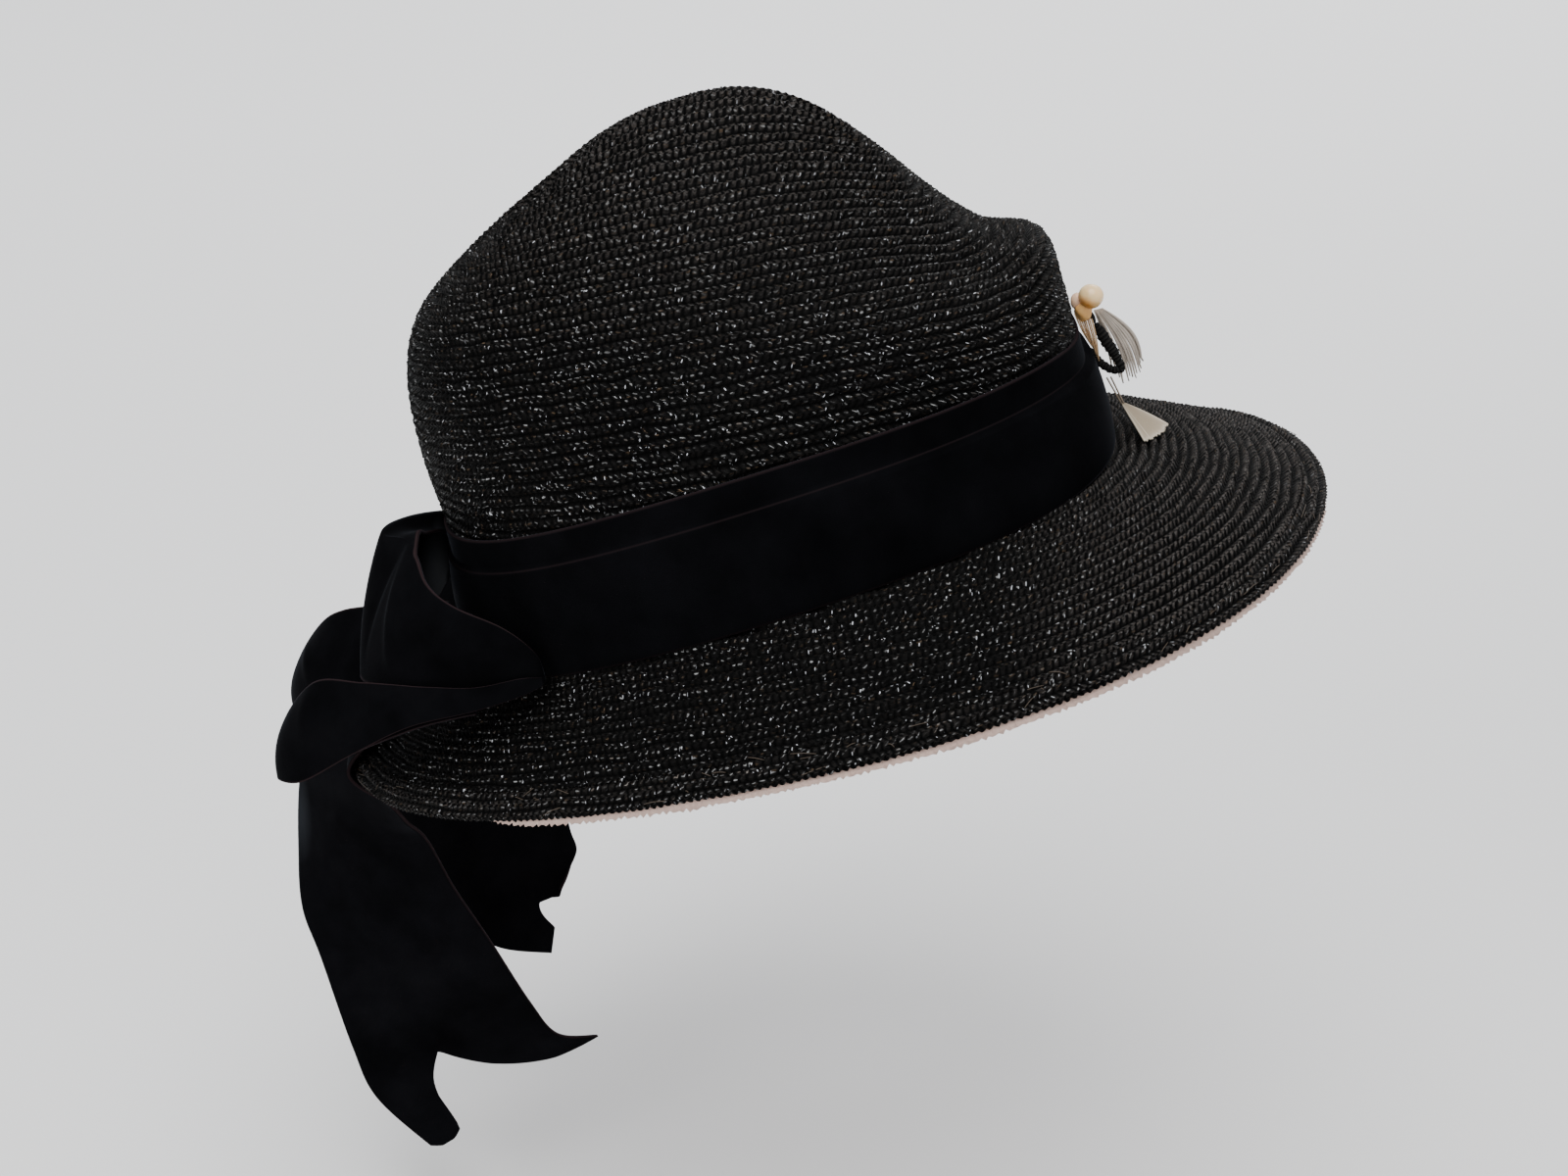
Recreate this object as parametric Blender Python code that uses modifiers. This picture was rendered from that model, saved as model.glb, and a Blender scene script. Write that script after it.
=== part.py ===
"""A black sewn-straw hat of the 1940s: tall dented crown, sloping brim, pale facing, velvet band, bow and feather trim.

Metres, +Z up. The wearer faces -Y, so the wearer's right is -X. Tables are in millimetres in the hat's own
directions: fore (towards the front), rise (out of the head opening) and near (towards the wearer's right).
The hat is worn tipped back, so an empty pitches every piece, and the bow's tails then hang plumb.
"""

from collections import namedtuple
from math import cos, exp, hypot, pi, radians, sin

import bmesh
import bpy
from mathutils import Vector

MM = 0.001

# Driving dimensions, in millimetres and degrees.
WORN_PITCH = 13.4
STRAW_WALL = 1.8
FACING_WALL = 1.1
VELVET_WALL = 1.2
GAP = 0.4
BRIM_EDGE_WIDTH = 6.8
BRIM_EDGE_HEIGHT = 2.9
BRIM_EDGE_PROUD = 0.4
BRIM_CROWNING = 2.6
FACING_REACH = 0.8
FACING_TUCK = 3.0
BRIM_LIP = 3.6
BAND_FOLD_DROP = 9.0

# Segments round a ring, and along and across a ribbon.
AROUND = 48
RIBBON_LONG = 14
RIBBON_WIDE = 4

# An oval ring: middle and half length fore, half width and its widening forward; its height is
# rise + tilt cos + saddle cos 2 + ripple cos 3 + twist sin 2 of the angle round it, less a dip at one angle.
Oval = namedtuple("Oval", "middle half_long half_wide egg rise tilt saddle ripple twist dip dip_angle dip_spread")
JUNCTION = Oval(0.0, 100.5, 82.2, 0.0, 0.0, 10.3, -5.7, 0.0, 0.0, 0.0, 0.0, 20.0)
BAND_TOP = Oval(1.4, 99.0, 79.1, 0.0, 41.3, 8.2, -6.2, 0.0, 0.0, 3.5, 0.0, 20.0)
RIM = Oval(6.4, 152.8, 121.0, 0.07, -26.6, 8.7, -4.3, 0.8, 1.2, 5.5, -45.0, 15.0)

# The crown as rings that each keep one distance from a ridge line, from the ridge (share 0) to the opening (share 1).
CrownRing = namedtuple("CrownRing", "share back_fore back_rise front_fore front_rise half_wide side_rise side_fore")
CROWN_RINGS = (
    CrownRing(0.00, -37.5, 115.0, 38.5, 121.0, 0.0, 132.2, 1.0),
    CrownRing(0.05, -46.0, 112.0, 46.5, 112.5, 10.0, 128.0, 1.0),
    CrownRing(0.12, -57.5, 107.5, 55.5, 101.5, 21.0, 119.0, 1.0),
    CrownRing(0.21, -72.0, 99.5, 66.0, 87.2, 36.0, 107.5, 1.0),
    CrownRing(0.32, -87.5, 87.5, 78.5, 75.0, 52.0, 92.0, 1.0),
    CrownRing(0.44, -95.0, 71.0, 93.0, 69.5, 65.5, 75.5, 1.0),
    CrownRing(0.57, -97.0, 49.0, 95.5, 53.5, 73.5, 60.5, 1.0),
    CrownRing(0.70, -96.0, 26.0, 96.2, 34.0, 77.0, 43.0, 0.5),
    CrownRing(0.85, -97.5, 4.0, 97.0, 19.0, 79.0, 20.0, 0.0),
    CrownRing(1.00, -98.7, -14.6, 98.5, 6.0, 80.4, 7.5, 0.0),
)
CROWN_ROWS = 15
RIDGE_FULLNESS = 2.5

# Dents pressed into both sides of the crown behind the front lip.
DENT_ANGLE = 27.0
DENT_SHARE = 0.42
DENT_DEPTH = 6.5
DENT_SPREAD_FORE = 12.0
DENT_SPREAD_AFT = 26.0
DENT_REACH = 0.14

# Ribbon stations: the upper edge, the lower edge and how far the middle bellies out of the line between them.
Edge = namedtuple("Edge", "up_fore up_rise up_near low_fore low_rise low_near belly")
LOOP_UPPER = (
    Edge(-70.0, -2.5, 65.0, -70.0, -4.5, 66.0, 0.0),
    Edge(-70.5, 5.5, 67.0, -72.5, -4.0, 69.0, 0.5),
    Edge(-76.5, 15.0, 68.0, -84.0, -1.0, 72.0, 1.5),
    Edge(-89.0, 23.0, 64.0, -97.0, 0.5, 68.5, 3.0),
    Edge(-95.5, 28.5, 58.0, -110.0, 1.0, 63.0, 3.5),
    Edge(-98.0, 35.0, 50.0, -118.5, -0.5, 54.5, 3.0),
    Edge(-102.5, 38.0, 40.0, -126.0, -2.5, 45.5, 2.5),
    Edge(-108.0, 37.5, 31.0, -129.0, -2.5, 39.0, 1.5),
    Edge(-107.0, 37.0, 22.0, -127.0, -2.0, 32.5, 1.0),
    Edge(-103.5, 35.0, 14.0, -119.0, -1.0, 28.0, 0.5),
    Edge(-100.0, 31.0, 5.5, -110.5, 3.0, 25.0, 0.0),
    Edge(-99.1, 26.0, -4.0, -104.0, 9.0, 16.0, 0.0),
    Edge(-99.4, 21.0, -13.0, -103.0, 10.0, 6.0, 0.0),
)
LOOP_REAR = (
    Edge(-101.5, 4.0, 15.0, -102.5, -9.0, 20.0, 0.0),
    Edge(-112.0, 6.5, 14.0, -113.5, -12.0, 24.0, 1.0),
    Edge(-123.5, 6.5, 12.5, -124.5, -14.5, 27.0, 2.0),
    Edge(-134.0, 6.0, 10.0, -136.0, -16.0, 27.0, 3.0),
    Edge(-142.5, 1.5, 4.0, -145.5, -18.0, 24.0, 3.0),
    Edge(-153.0, -7.0, -2.0, -154.0, -22.0, 16.0, 2.5),
    Edge(-160.0, -18.0, -10.0, -160.0, -27.5, 6.0, 2.0),
    Edge(-158.5, -23.0, -19.0, -158.5, -32.5, -5.0, 1.5),
    Edge(-148.0, -18.0, -26.0, -149.0, -29.0, -13.0, 1.0),
    Edge(-130.0, -10.0, -25.0, -131.0, -21.0, -13.0, 1.0),
    Edge(-112.0, -3.0, -20.0, -113.0, -13.0, -10.0, 0.5),
    Edge(-103.0, 2.0, -15.0, -103.5, -9.0, -8.0, 0.0),
)
LOOP_LOWER = (
    Edge(-70.0, -2.0, 69.0, -70.0, -4.0, 70.0, 0.0),
    Edge(-75.5, 0.5, 72.0, -76.0, -4.0, 74.0, 0.0),
    Edge(-88.0, 1.5, 74.0, -89.0, -4.0, 77.0, 0.5),
    Edge(-103.5, 3.0, 69.0, -109.5, -6.5, 73.0, 1.0),
    Edge(-122.0, 3.0, 58.0, -130.0, -15.0, 65.0, 2.5),
    Edge(-138.5, 1.5, 47.0, -149.0, -24.0, 57.0, 3.0),
    Edge(-154.0, -13.0, 37.0, -159.5, -27.5, 44.0, 1.5),
    Edge(-153.0, -21.0, 30.5, -153.0, -30.0, 38.0, 0.0),
    Edge(-137.0, -15.5, 38.0, -137.0, -24.0, 46.0, 0.0),
    Edge(-112.5, -9.5, 50.0, -111.5, -15.0, 57.0, 0.0),
    Edge(-93.0, -7.0, 60.0, -92.0, -11.0, 64.5, 0.0),
)
TAIL_LONG = (
    Edge(-105.0, -11.5, -24.0, -105.0, -13.0, 24.0, 0.0),
    Edge(-125.0, -23.5, -24.0, -123.0, -24.5, 31.0, 0.0),
    Edge(-146.0, -32.0, -17.0, -138.0, -35.0, 40.5, 0.0),
    Edge(-163.5, -42.0, -9.0, -137.0, -44.0, 44.0, 1.0),
    Edge(-173.0, -58.0, -12.0, -136.0, -57.0, 33.0, 2.5),
    Edge(-178.0, -78.0, -9.0, -130.5, -72.0, 17.0, 3.0),
    Edge(-182.0, -97.0, -4.0, -128.0, -92.0, 14.0, 2.0),
    Edge(-180.0, -113.5, 2.0, -123.5, -114.5, 10.5, 1.0),
    Edge(-179.0, -145.5, 6.0, -119.0, -144.0, 4.0, 0.0),
    Edge(-176.0, -165.0, 9.0, -115.0, -161.5, -2.0, 0.0),
    Edge(-161.5, -186.0, 14.0, -104.5, -170.0, -10.0, 0.0),
)
TAIL_SHORT = (
    Edge(-104.0, -11.5, -31.0, -86.0, -8.0, -51.0, 0.0),
    Edge(-121.0, -24.0, -41.0, -92.0, -17.0, -70.0, 0.5),
    Edge(-134.0, -32.0, -50.0, -93.0, -26.0, -88.0, 0.5),
    Edge(-146.5, -42.0, -58.0, -97.0, -36.5, -99.5, 0.0),
    Edge(-157.5, -64.0, -61.0, -101.0, -60.0, -101.5, 1.5),
    Edge(-165.5, -88.0, -60.0, -106.0, -95.0, -99.0, 3.0),
    Edge(-169.0, -108.0, -58.0, -111.5, -133.0, -95.0, 2.0),
    Edge(-162.5, -128.5, -60.0, -110.5, -143.0, -90.0, 1.0),
    Edge(-152.5, -147.0, -63.0, -112.5, -145.5, -84.0, 0.0),
    Edge(-141.5, -162.0, -66.0, -114.5, -147.5, -79.0, 0.0),
    Edge(-125.0, -169.5, -68.0, -117.0, -149.5, -75.0, 0.0),
)

# How much of a tail's length the dovetail leaves off, across it from the upper edge (0) to the lower edge (1).
Cut = namedtuple("Cut", "across short")
LONG_DOVETAIL = (
    Cut(0.0, 0.0),
    Cut(0.15, 0.0),
    Cut(0.25, 0.07),
    Cut(0.42, 0.155),
    Cut(0.6, 0.09),
    Cut(0.8, 0.03),
    Cut(1.0, 0.0),
)
SHORT_DOVETAIL = (
    Cut(0.0, 0.0),
    Cut(0.4, 0.0),
    Cut(0.5, 0.05),
    Cut(0.62, 0.11),
    Cut(0.75, 0.08),
    Cut(0.87, 0.02),
    Cut(1.0, 0.0),
)

# The trim at the front, a little to the wearer's left of the middle.
Bulb = namedtuple("Bulb", "fore rise near half_wide half_high lean")
BEAD = Bulb(103.2, 45.0, -8.5, 3.8, 3.6, 0.0)
BUD = Bulb(100.0, 40.6, -13.6, 2.5, 3.4, 12.0)
Strand = namedtuple("Strand", "fore rise near radius")
STAMENS = (
    Strand(100.4, 37.0, -11.0, 1.6),
    Strand(100.8, 34.0, -10.0, 1.4),
    Strand(101.4, 30.5, -9.0, 1.0),
    Strand(102.1, 27.0, -8.4, 0.6),
)
WRAPPED_LOOP = (
    Strand(103.9, 34.5, -11.0, 0.9),
    Strand(104.9, 31.5, -11.2, 1.2),
    Strand(106.0, 28.0, -11.4, 1.3),
    Strand(107.2, 25.0, -11.4, 1.3),
    Strand(108.0, 22.2, -11.4, 1.2),
    Strand(108.0, 19.6, -11.2, 1.1),
    Strand(106.2, 19.1, -11.0, 1.2),
    Strand(104.6, 20.2, -11.0, 1.2),
    Strand(103.4, 22.4, -11.0, 1.1),
    Strand(102.8, 25.2, -11.2, 1.0),
)
Barb = namedtuple("Barb", "fore rise near")
PLUME_ROOT = Barb(104.5, 38.4, -14.5)
PLUME_TIPS = (
    Barb(104.9, 15.6, -16.0),
    Barb(107.2, 12.6, -16.5),
    Barb(109.8, 12.2, -17.0),
    Barb(112.0, 12.9, -17.5),
    Barb(113.6, 14.8, -17.5),
    Barb(114.6, 18.0, -17.5),
)
PLUME_SWELL = 2.8
PLUME_ROOT_HALF = 1.6
PLUME_THICK = 0.9
PETAL_ROOT = Barb(103.6, 17.6, -12.0)
PETAL_NECK = Barb(106.1, 8.4, -12.0)
PETAL_TIPS = (
    Barb(109.5, 3.4, 9.0),
    Barb(112.6, 2.2, 5.0),
    Barb(115.9, 1.3, 0.0),
    Barb(118.3, 0.8, -6.0),
)
PETAL_THICK = 0.9
PETAL_QUILL = 0.8


def smoothstep(t):
    t = max(0.0, min(1.0, t))
    return t * t * (3.0 - 2.0 * t)


def blend_rows(rows, place, columns):
    """Values of the named columns at a place counted in rows, on a smooth curve through all the rows."""
    last = len(rows) - 1
    i = min(int(place), last - 1)
    t = place - i
    picks = [rows[max(0, min(last, i + k))] for k in (-1, 0, 1, 2)]
    values = []
    for column in columns:
        p0, p1, p2, p3 = (getattr(row, column) for row in picks)
        curve = 2 * p1 + (p2 - p0) * t + (2 * p0 - 5 * p1 + 4 * p2 - p3) * t**2
        values.append(0.5 * (curve + (3 * p1 - p0 - 3 * p2 + p3) * t**3))
    return values


def hat_vector(fore, rise, near):
    return Vector((-near, -fore, rise)) * MM


def oval_point(oval, angle):
    """Fore, near and rise of a ring's point, from the front (0) round by the wearer's right."""
    c = cos(angle)
    wide = oval.half_wide * (1.0 + oval.egg * c)
    rise = oval.rise + oval.tilt * c + oval.saddle * cos(2 * angle)
    rise += oval.ripple * cos(3 * angle) + oval.twist * sin(2 * angle)
    turn = (angle - radians(oval.dip_angle) + pi) % (2 * pi) - pi
    rise -= oval.dip * exp(-((turn / radians(oval.dip_spread)) ** 2))
    return oval.middle + oval.half_long * c, wide * sin(angle), rise


def crown_place(share):
    """The place in the crown's table, counted in rows, of a share of the way down from its ridge."""
    for i in range(len(CROWN_RINGS) - 1):
        low, high = CROWN_RINGS[i].share, CROWN_RINGS[i + 1].share
        if share <= high:
            return i + (share - low) / (high - low)
    return len(CROWN_RINGS) - 1.0


def crown_point(angle, share):
    back, back_rise, front, front_rise, wide, side_rise, side = blend_rows(
        CROWN_RINGS, crown_place(share), CrownRing._fields[1:]
    )
    c = cos(angle)
    fore = side + (front - back) / 2 * c + ((front + back) / 2 - side) * c * c
    ends = (front_rise + back_rise) / 2 - side_rise
    rise = side_rise + (front_rise - back_rise) / 2 * c + ends * abs(c) ** RIDGE_FULLNESS
    near = wide * sin(angle)
    turn = min(angle, 2 * pi - angle) - radians(DENT_ANGLE)
    spread = DENT_SPREAD_FORE if turn < 0 else DENT_SPREAD_AFT
    away = (turn / radians(spread)) ** 2 + ((share - DENT_SHARE) / DENT_REACH) ** 2
    dent = DENT_DEPTH * exp(-away)
    return fore - dent * 0.25 * c, near - dent * 0.4 * sin(angle), rise - dent * 0.85


def crown_at_rise(angle, rise):
    """The crown's outer point at a height on its wall, where the band lies."""
    low, high = 0.5, 1.0
    for _ in range(24):
        middle = (low + high) / 2
        if crown_point(angle, middle)[2] > rise:
            low = middle
        else:
            high = middle
    return crown_point(angle, (low + high) / 2)


def brim_point(angle, share, lift=0.0):
    """The brim's upper surface from the junction (share 0) to the rim (share 1); a lift raises it square to itself."""
    j_fore, j_near, j_rise = oval_point(JUNCTION, angle)
    r_fore, r_near, r_rise = oval_point(RIM, angle)
    run = hypot(r_fore - j_fore, r_near - j_near)
    inner = max(0.0, -share) * run
    bow = BRIM_CROWNING * sin(pi * max(0.0, min(1.0, share)))
    fore = j_fore + (r_fore - j_fore) * share
    near = j_near + (r_near - j_near) * share
    rise = j_rise + (r_rise - j_rise) * max(0.0, share) + bow + inner * 0.25
    fall = (j_rise - r_rise) / run
    length = hypot(1.0, fall)
    outward = ((r_fore - j_fore) / run, (r_near - j_near) / run)
    return (
        fore + outward[0] * lift * fall / length,
        near + outward[1] * lift * fall / length,
        rise + lift / length,
    )


def brim_run(angle):
    """Length of the brim from the junction to the rim, along its slope."""
    j_fore, j_near, j_rise = oval_point(JUNCTION, angle)
    r_fore, r_near, r_rise = oval_point(RIM, angle)
    return Vector((r_fore - j_fore, r_near - j_near, r_rise - j_rise)).length


def grid_mesh(columns, rows, place):
    """A primitive grid whose corners (0 to 1 each way) are carried to place(u, v), given as (fore, near, rise)."""
    bm = bmesh.new()
    bmesh.ops.create_grid(bm, x_segments=columns, y_segments=rows, size=1.0)
    for vert in bm.verts:
        fore, near, rise = place((vert.co.x + 1) / 2, (vert.co.y + 1) / 2)
        vert.co = hat_vector(fore, rise, near)
    bmesh.ops.remove_doubles(bm, verts=bm.verts, dist=1e-6)
    return bm


def make_material(name, colour, roughness, sheen=0.0):
    material = bpy.data.materials.new(name)
    material.use_nodes = True
    shader = material.node_tree.nodes["Principled BSDF"]
    shader.inputs["Base Color"].default_value = (*colour, 1.0)
    shader.inputs["Roughness"].default_value = roughness
    shader.inputs["Metallic"].default_value = 0.0
    shader.inputs["Sheen Weight"].default_value = sheen
    material.diffuse_color = (*colour, 1.0)
    return material


def add_object(name, bm, material, smooth_angle=40.0):
    mesh = bpy.data.meshes.new(name)
    bm.to_mesh(mesh)
    bm.free()
    mesh.shade_smooth()
    mesh.set_sharp_from_angle(angle=radians(smooth_angle))
    obj = bpy.data.objects.new(name, mesh)
    HAT.objects.link(obj)
    obj.parent = WORN
    mesh.materials.append(material)
    return obj


def add_wall(obj, thickness, offset):
    wall = obj.modifiers.new("wall", "SOLIDIFY")
    wall.thickness = thickness * MM
    wall.offset = offset
    wall.use_even_offset = True
    return obj


def crown(material):
    def place(u, v):
        return crown_point(2 * pi * u, v)

    bm = grid_mesh(AROUND, CROWN_ROWS, place)
    return add_wall(add_object("crown", bm, material), STRAW_WALL, -1.0)


def brim(material):
    rows = 6

    def place(u, v):
        angle = 2 * pi * u
        run = brim_run(angle)
        inside = 0.5 / run
        outside = 1.0 - (BRIM_EDGE_WIDTH + GAP) / run
        row = round(v * rows)
        if row == 0:
            return brim_point(angle, -BRIM_LIP / run)
        return brim_point(angle, inside + (outside - inside) * (row - 1) / (rows - 1))

    bm = grid_mesh(AROUND, rows, place)
    return add_wall(add_object("brim", bm, material), STRAW_WALL, -1.0)


def brim_edge(material):
    """The rolled edge: a rounded strip of doubled braid all round the rim."""
    sides = 8

    def place(u, v):
        angle = 2 * pi * u
        turn = 2 * pi * v
        run = brim_run(angle)
        middle = 1.0 - BRIM_EDGE_WIDTH / 2 / run
        reach = BRIM_EDGE_WIDTH / 2 / run * cos(turn)
        height = BRIM_EDGE_HEIGHT / 2 * (sin(turn) - 1) + BRIM_EDGE_PROUD
        return brim_point(angle, middle + reach, height)

    bm = grid_mesh(AROUND, sides, place)
    bmesh.ops.recalc_face_normals(bm, faces=bm.faces)
    return add_object("brim_edge", bm, material)


def brim_facing(material):
    """The pale under-brim, which shows as a line below the edge at both sides and is tucked in at the back."""

    def place(u, v):
        angle = 2 * pi * u
        run = brim_run(angle)
        inside = 0.5 / run
        tuck = FACING_TUCK * smoothstep((-cos(angle) - 0.55) / 0.2)
        outside = 1.0 + (FACING_REACH * sin(angle) ** 2 - tuck) / run
        share = inside + (outside - inside) * v
        drop = STRAW_WALL + 1.5 * GAP + 0.5 * smoothstep((share - 0.75) / 0.15)
        return brim_point(angle, share, -drop)

    bm = grid_mesh(AROUND, 5, place)
    return add_wall(add_object("brim_facing", bm, material), FACING_WALL, -1.0)


def band_point(angle, share):
    """The band's outer face, from its upper edge (share 0) to its lower edge on the brim (share 1)."""
    top_rise = oval_point(BAND_TOP, angle)[2]
    low_rise = oval_point(JUNCTION, angle)[2] + GAP
    rise = top_rise + (low_rise - top_rise) * share
    fore, near, _ = crown_at_rise(angle, rise)
    length = hypot(fore / 100.5**2, near / 82.2**2)
    below_fold = (rise - top_rise + BAND_FOLD_DROP) < 0
    proud = 0.0
    if below_fold:
        down = (top_rise - BAND_FOLD_DROP - rise) / (top_rise - BAND_FOLD_DROP - low_rise)
        proud = 1.1 + 1.2 * sin(pi * down) + 1.2 * smoothstep(cos(angle)) * (1 - 0.6 * down)
    out = GAP + VELVET_WALL + proud
    return (
        fore + fore / 100.5**2 / length * out,
        near + near / 82.2**2 / length * out,
        rise,
    )


def hat_band(material):
    """A wide velvet ribbon round the crown, with a lengthwise tuck below its upper edge."""
    steps = (0.0, 0.11, 0.215, 0.26, 0.5, 0.75, 1.0)

    def place(u, v):
        return band_point(2 * pi * u, steps[round(v * (len(steps) - 1))])

    bm = grid_mesh(AROUND, len(steps) - 1, place)
    return add_wall(add_object("hat_band", bm, material, 30.0), VELVET_WALL, -1.0)


def ribbon_point(stations, u, v):
    """A point of a ribbon: v along it, u from its upper edge to its lower one, bellied square to both."""
    place = v * (len(stations) - 1)
    values = blend_rows(stations, place, Edge._fields)
    ahead = blend_rows(stations, min(place + 0.05, len(stations) - 1.0), Edge._fields)
    behind = blend_rows(stations, max(place - 0.05, 0.0), Edge._fields)
    upper, lower = Vector(values[0:3]), Vector(values[3:6])
    along = Vector(ahead[0:3]) + Vector(ahead[3:6]) - Vector(behind[0:3]) - Vector(behind[3:6])
    side = (lower - upper).cross(along)
    side = side.normalized() if side.length > 1e-9 else Vector((0, 0, 1))
    point = upper.lerp(lower, u) + side * values[6] * 4 * u * (1 - u)
    return point.x, point.z, point.y


def dovetail_short(cuts, u):
    for left, right in zip(cuts, cuts[1:]):
        if u <= right.across:
            t = (u - left.across) / (right.across - left.across)
            return left.short + (right.short - left.short) * t
    return cuts[-1].short


def ribbon(name, stations, material, long=RIBBON_LONG, wide=RIBBON_WIDE, cuts=None):
    def place(u, v):
        if cuts:
            v *= 1.0 - dovetail_short(cuts, u) * smoothstep(v)
        return ribbon_point(stations, u, v)

    bm = grid_mesh(wide, long, place)
    return add_wall(add_object(name, bm, material), VELVET_WALL, 0.0)


def bulb(name, spec, material):
    bm = bmesh.new()
    bmesh.ops.create_uvsphere(bm, u_segments=14, v_segments=8, radius=1.0)
    bmesh.ops.scale(bm, verts=bm.verts, vec=Vector((spec.half_wide, spec.half_wide, spec.half_high)) * MM)
    obj = add_object(name, bm, material, 80.0)
    obj.location = hat_vector(spec.fore, spec.rise, spec.near)
    obj.rotation_euler.x = radians(spec.lean)
    return obj


def strand(name, stations, material):
    """A wire or a bundle of threads: a bevelled curve with filled caps."""
    curve = bpy.data.curves.new(name, "CURVE")
    curve.dimensions = "3D"
    curve.bevel_depth = MM
    curve.bevel_resolution = 2
    curve.use_fill_caps = True
    spline = curve.splines.new("POLY")
    steps = 3 * (len(stations) - 1)
    spline.points.add(steps)
    for i, point in enumerate(spline.points):
        fore, rise, near, radius = blend_rows(stations, i / 3, Strand._fields)
        point.co = (*hat_vector(fore, rise, near), 1.0)
        point.radius = radius
    obj = bpy.data.objects.new(name, curve)
    HAT.objects.link(obj)
    obj.parent = WORN
    curve.materials.append(material)
    return obj


def fan_point(root, tips, swell, across, along):
    """A point of a fan of barbs: from its root to a tip, arched forward on the way."""
    i = min(int(across * (len(tips) - 1)), len(tips) - 2)
    t = across * (len(tips) - 1) - i
    tip = Vector(tips[i]).lerp(Vector(tips[i + 1]), t)
    point = Vector(root).lerp(tip, along)
    point.x += swell * sin(pi * min(1.0, along * 1.05)) * (0.3 + 0.7 * across)
    return point


def feather_plume(material):
    """Barbs that fan forward and down, split into locks at their tips and joined at the root."""
    locks = len(PLUME_TIPS) - 1
    bm = bmesh.new()
    bmesh.ops.create_grid(bm, x_segments=3 * locks, y_segments=7, size=1.0)
    cut = []
    for face in bm.faces:
        middle = face.calc_center_median()
        if round((middle.x + 1) / 2 * 3 * locks - 0.5) % 3 == 2 and middle.y > 0.0 and middle.x < 0.93:
            cut.append(face)
    bmesh.ops.delete(bm, geom=cut, context="FACES")
    for vert in bm.verts:
        across, along = (vert.co.x + 1) / 2, (vert.co.y + 1) / 2
        point = fan_point(PLUME_ROOT, PLUME_TIPS, PLUME_SWELL, across, along)
        point.x += PLUME_ROOT_HALF * (2 * across - 1) * (1 - along)
        vert.co = hat_vector(*point)
    return add_wall(add_object("feather_plume", bm, material), PLUME_THICK, 0.0)


def feather_petal(material):
    """A trimmed feather tip on a short quill, fanned and square across its end."""
    bm = bmesh.new()
    bmesh.ops.create_grid(bm, x_segments=6, y_segments=6, size=1.0)
    for vert in bm.verts:
        across, along = (vert.co.x + 1) / 2, (vert.co.y + 1) / 2
        quill = Vector(PETAL_ROOT).lerp(Vector(PETAL_NECK), min(1.0, along * 3))
        blade = fan_point(PETAL_NECK, PETAL_TIPS, 0.0, across, smoothstep(along * 1.5 - 0.5) ** 0.8)
        point = quill if along <= 1 / 3 else blade
        narrow = max(0.0, 1.0 - max(0.0, along - 1 / 3) * 3)
        point.x += PETAL_QUILL * (2 * across - 1) * narrow
        vert.co = hat_vector(*point)
    return add_wall(add_object("feather_petal", bm, material), PETAL_THICK, 0.0)


def build():
    straw = make_material("black_straw", (0.014, 0.013, 0.012), 0.42)
    facing = make_material("pale_straw", (0.60, 0.44, 0.38), 0.62)
    velvet = make_material("black_velvet", (0.006, 0.006, 0.007), 0.9, 0.4)
    bead = make_material("cream_bead", (0.86, 0.72, 0.50), 0.35)
    bud = make_material("amber_bud", (0.80, 0.47, 0.18), 0.5)
    feather = make_material("grey_feather", (0.48, 0.43, 0.38), 0.7)
    wrap = make_material("wrapped_wire", (0.02, 0.02, 0.02), 0.7)
    crown(straw)
    brim(straw)
    brim_edge(straw)
    brim_facing(facing)
    hat_band(velvet)
    ribbon("bow_loop_upper", LOOP_UPPER, velvet, long=18)
    ribbon("bow_loop_rear", LOOP_REAR, velvet, long=16)
    ribbon("bow_loop_lower", LOOP_LOWER, velvet, long=20)
    ribbon("tail_long", TAIL_LONG, velvet, long=20, wide=8, cuts=LONG_DOVETAIL)
    ribbon("tail_short", TAIL_SHORT, velvet, long=18, wide=8, cuts=SHORT_DOVETAIL)
    bulb("trim_bead", BEAD, bead)
    bulb("trim_bud", BUD, bud)
    strand("trim_stamens", STAMENS, bud)
    strand("trim_wrapped_loop", WRAPPED_LOOP, wrap)
    feather_plume(feather)
    feather_petal(feather)


for leftover in list(bpy.data.objects):
    bpy.data.objects.remove(leftover, do_unlink=True)

HAT = bpy.data.collections.new("straw_hat")
bpy.context.scene.collection.children.link(HAT)
WORN = bpy.data.objects.new("worn_pitch", None)
WORN.rotation_euler.x = -radians(WORN_PITCH)
HAT.objects.link(WORN)
build()
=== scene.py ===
"""Dresses the straw hat: sewn braid rows, rolled edge, pale facing, velvet band, bow and feather trim."""

from collections import namedtuple
from math import cos, pi, radians, sin

import bmesh
import bpy
import numpy as np
from bpy.props import FloatProperty, FloatVectorProperty, IntProperty, PointerProperty
from mathutils import Matrix, Vector


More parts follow.
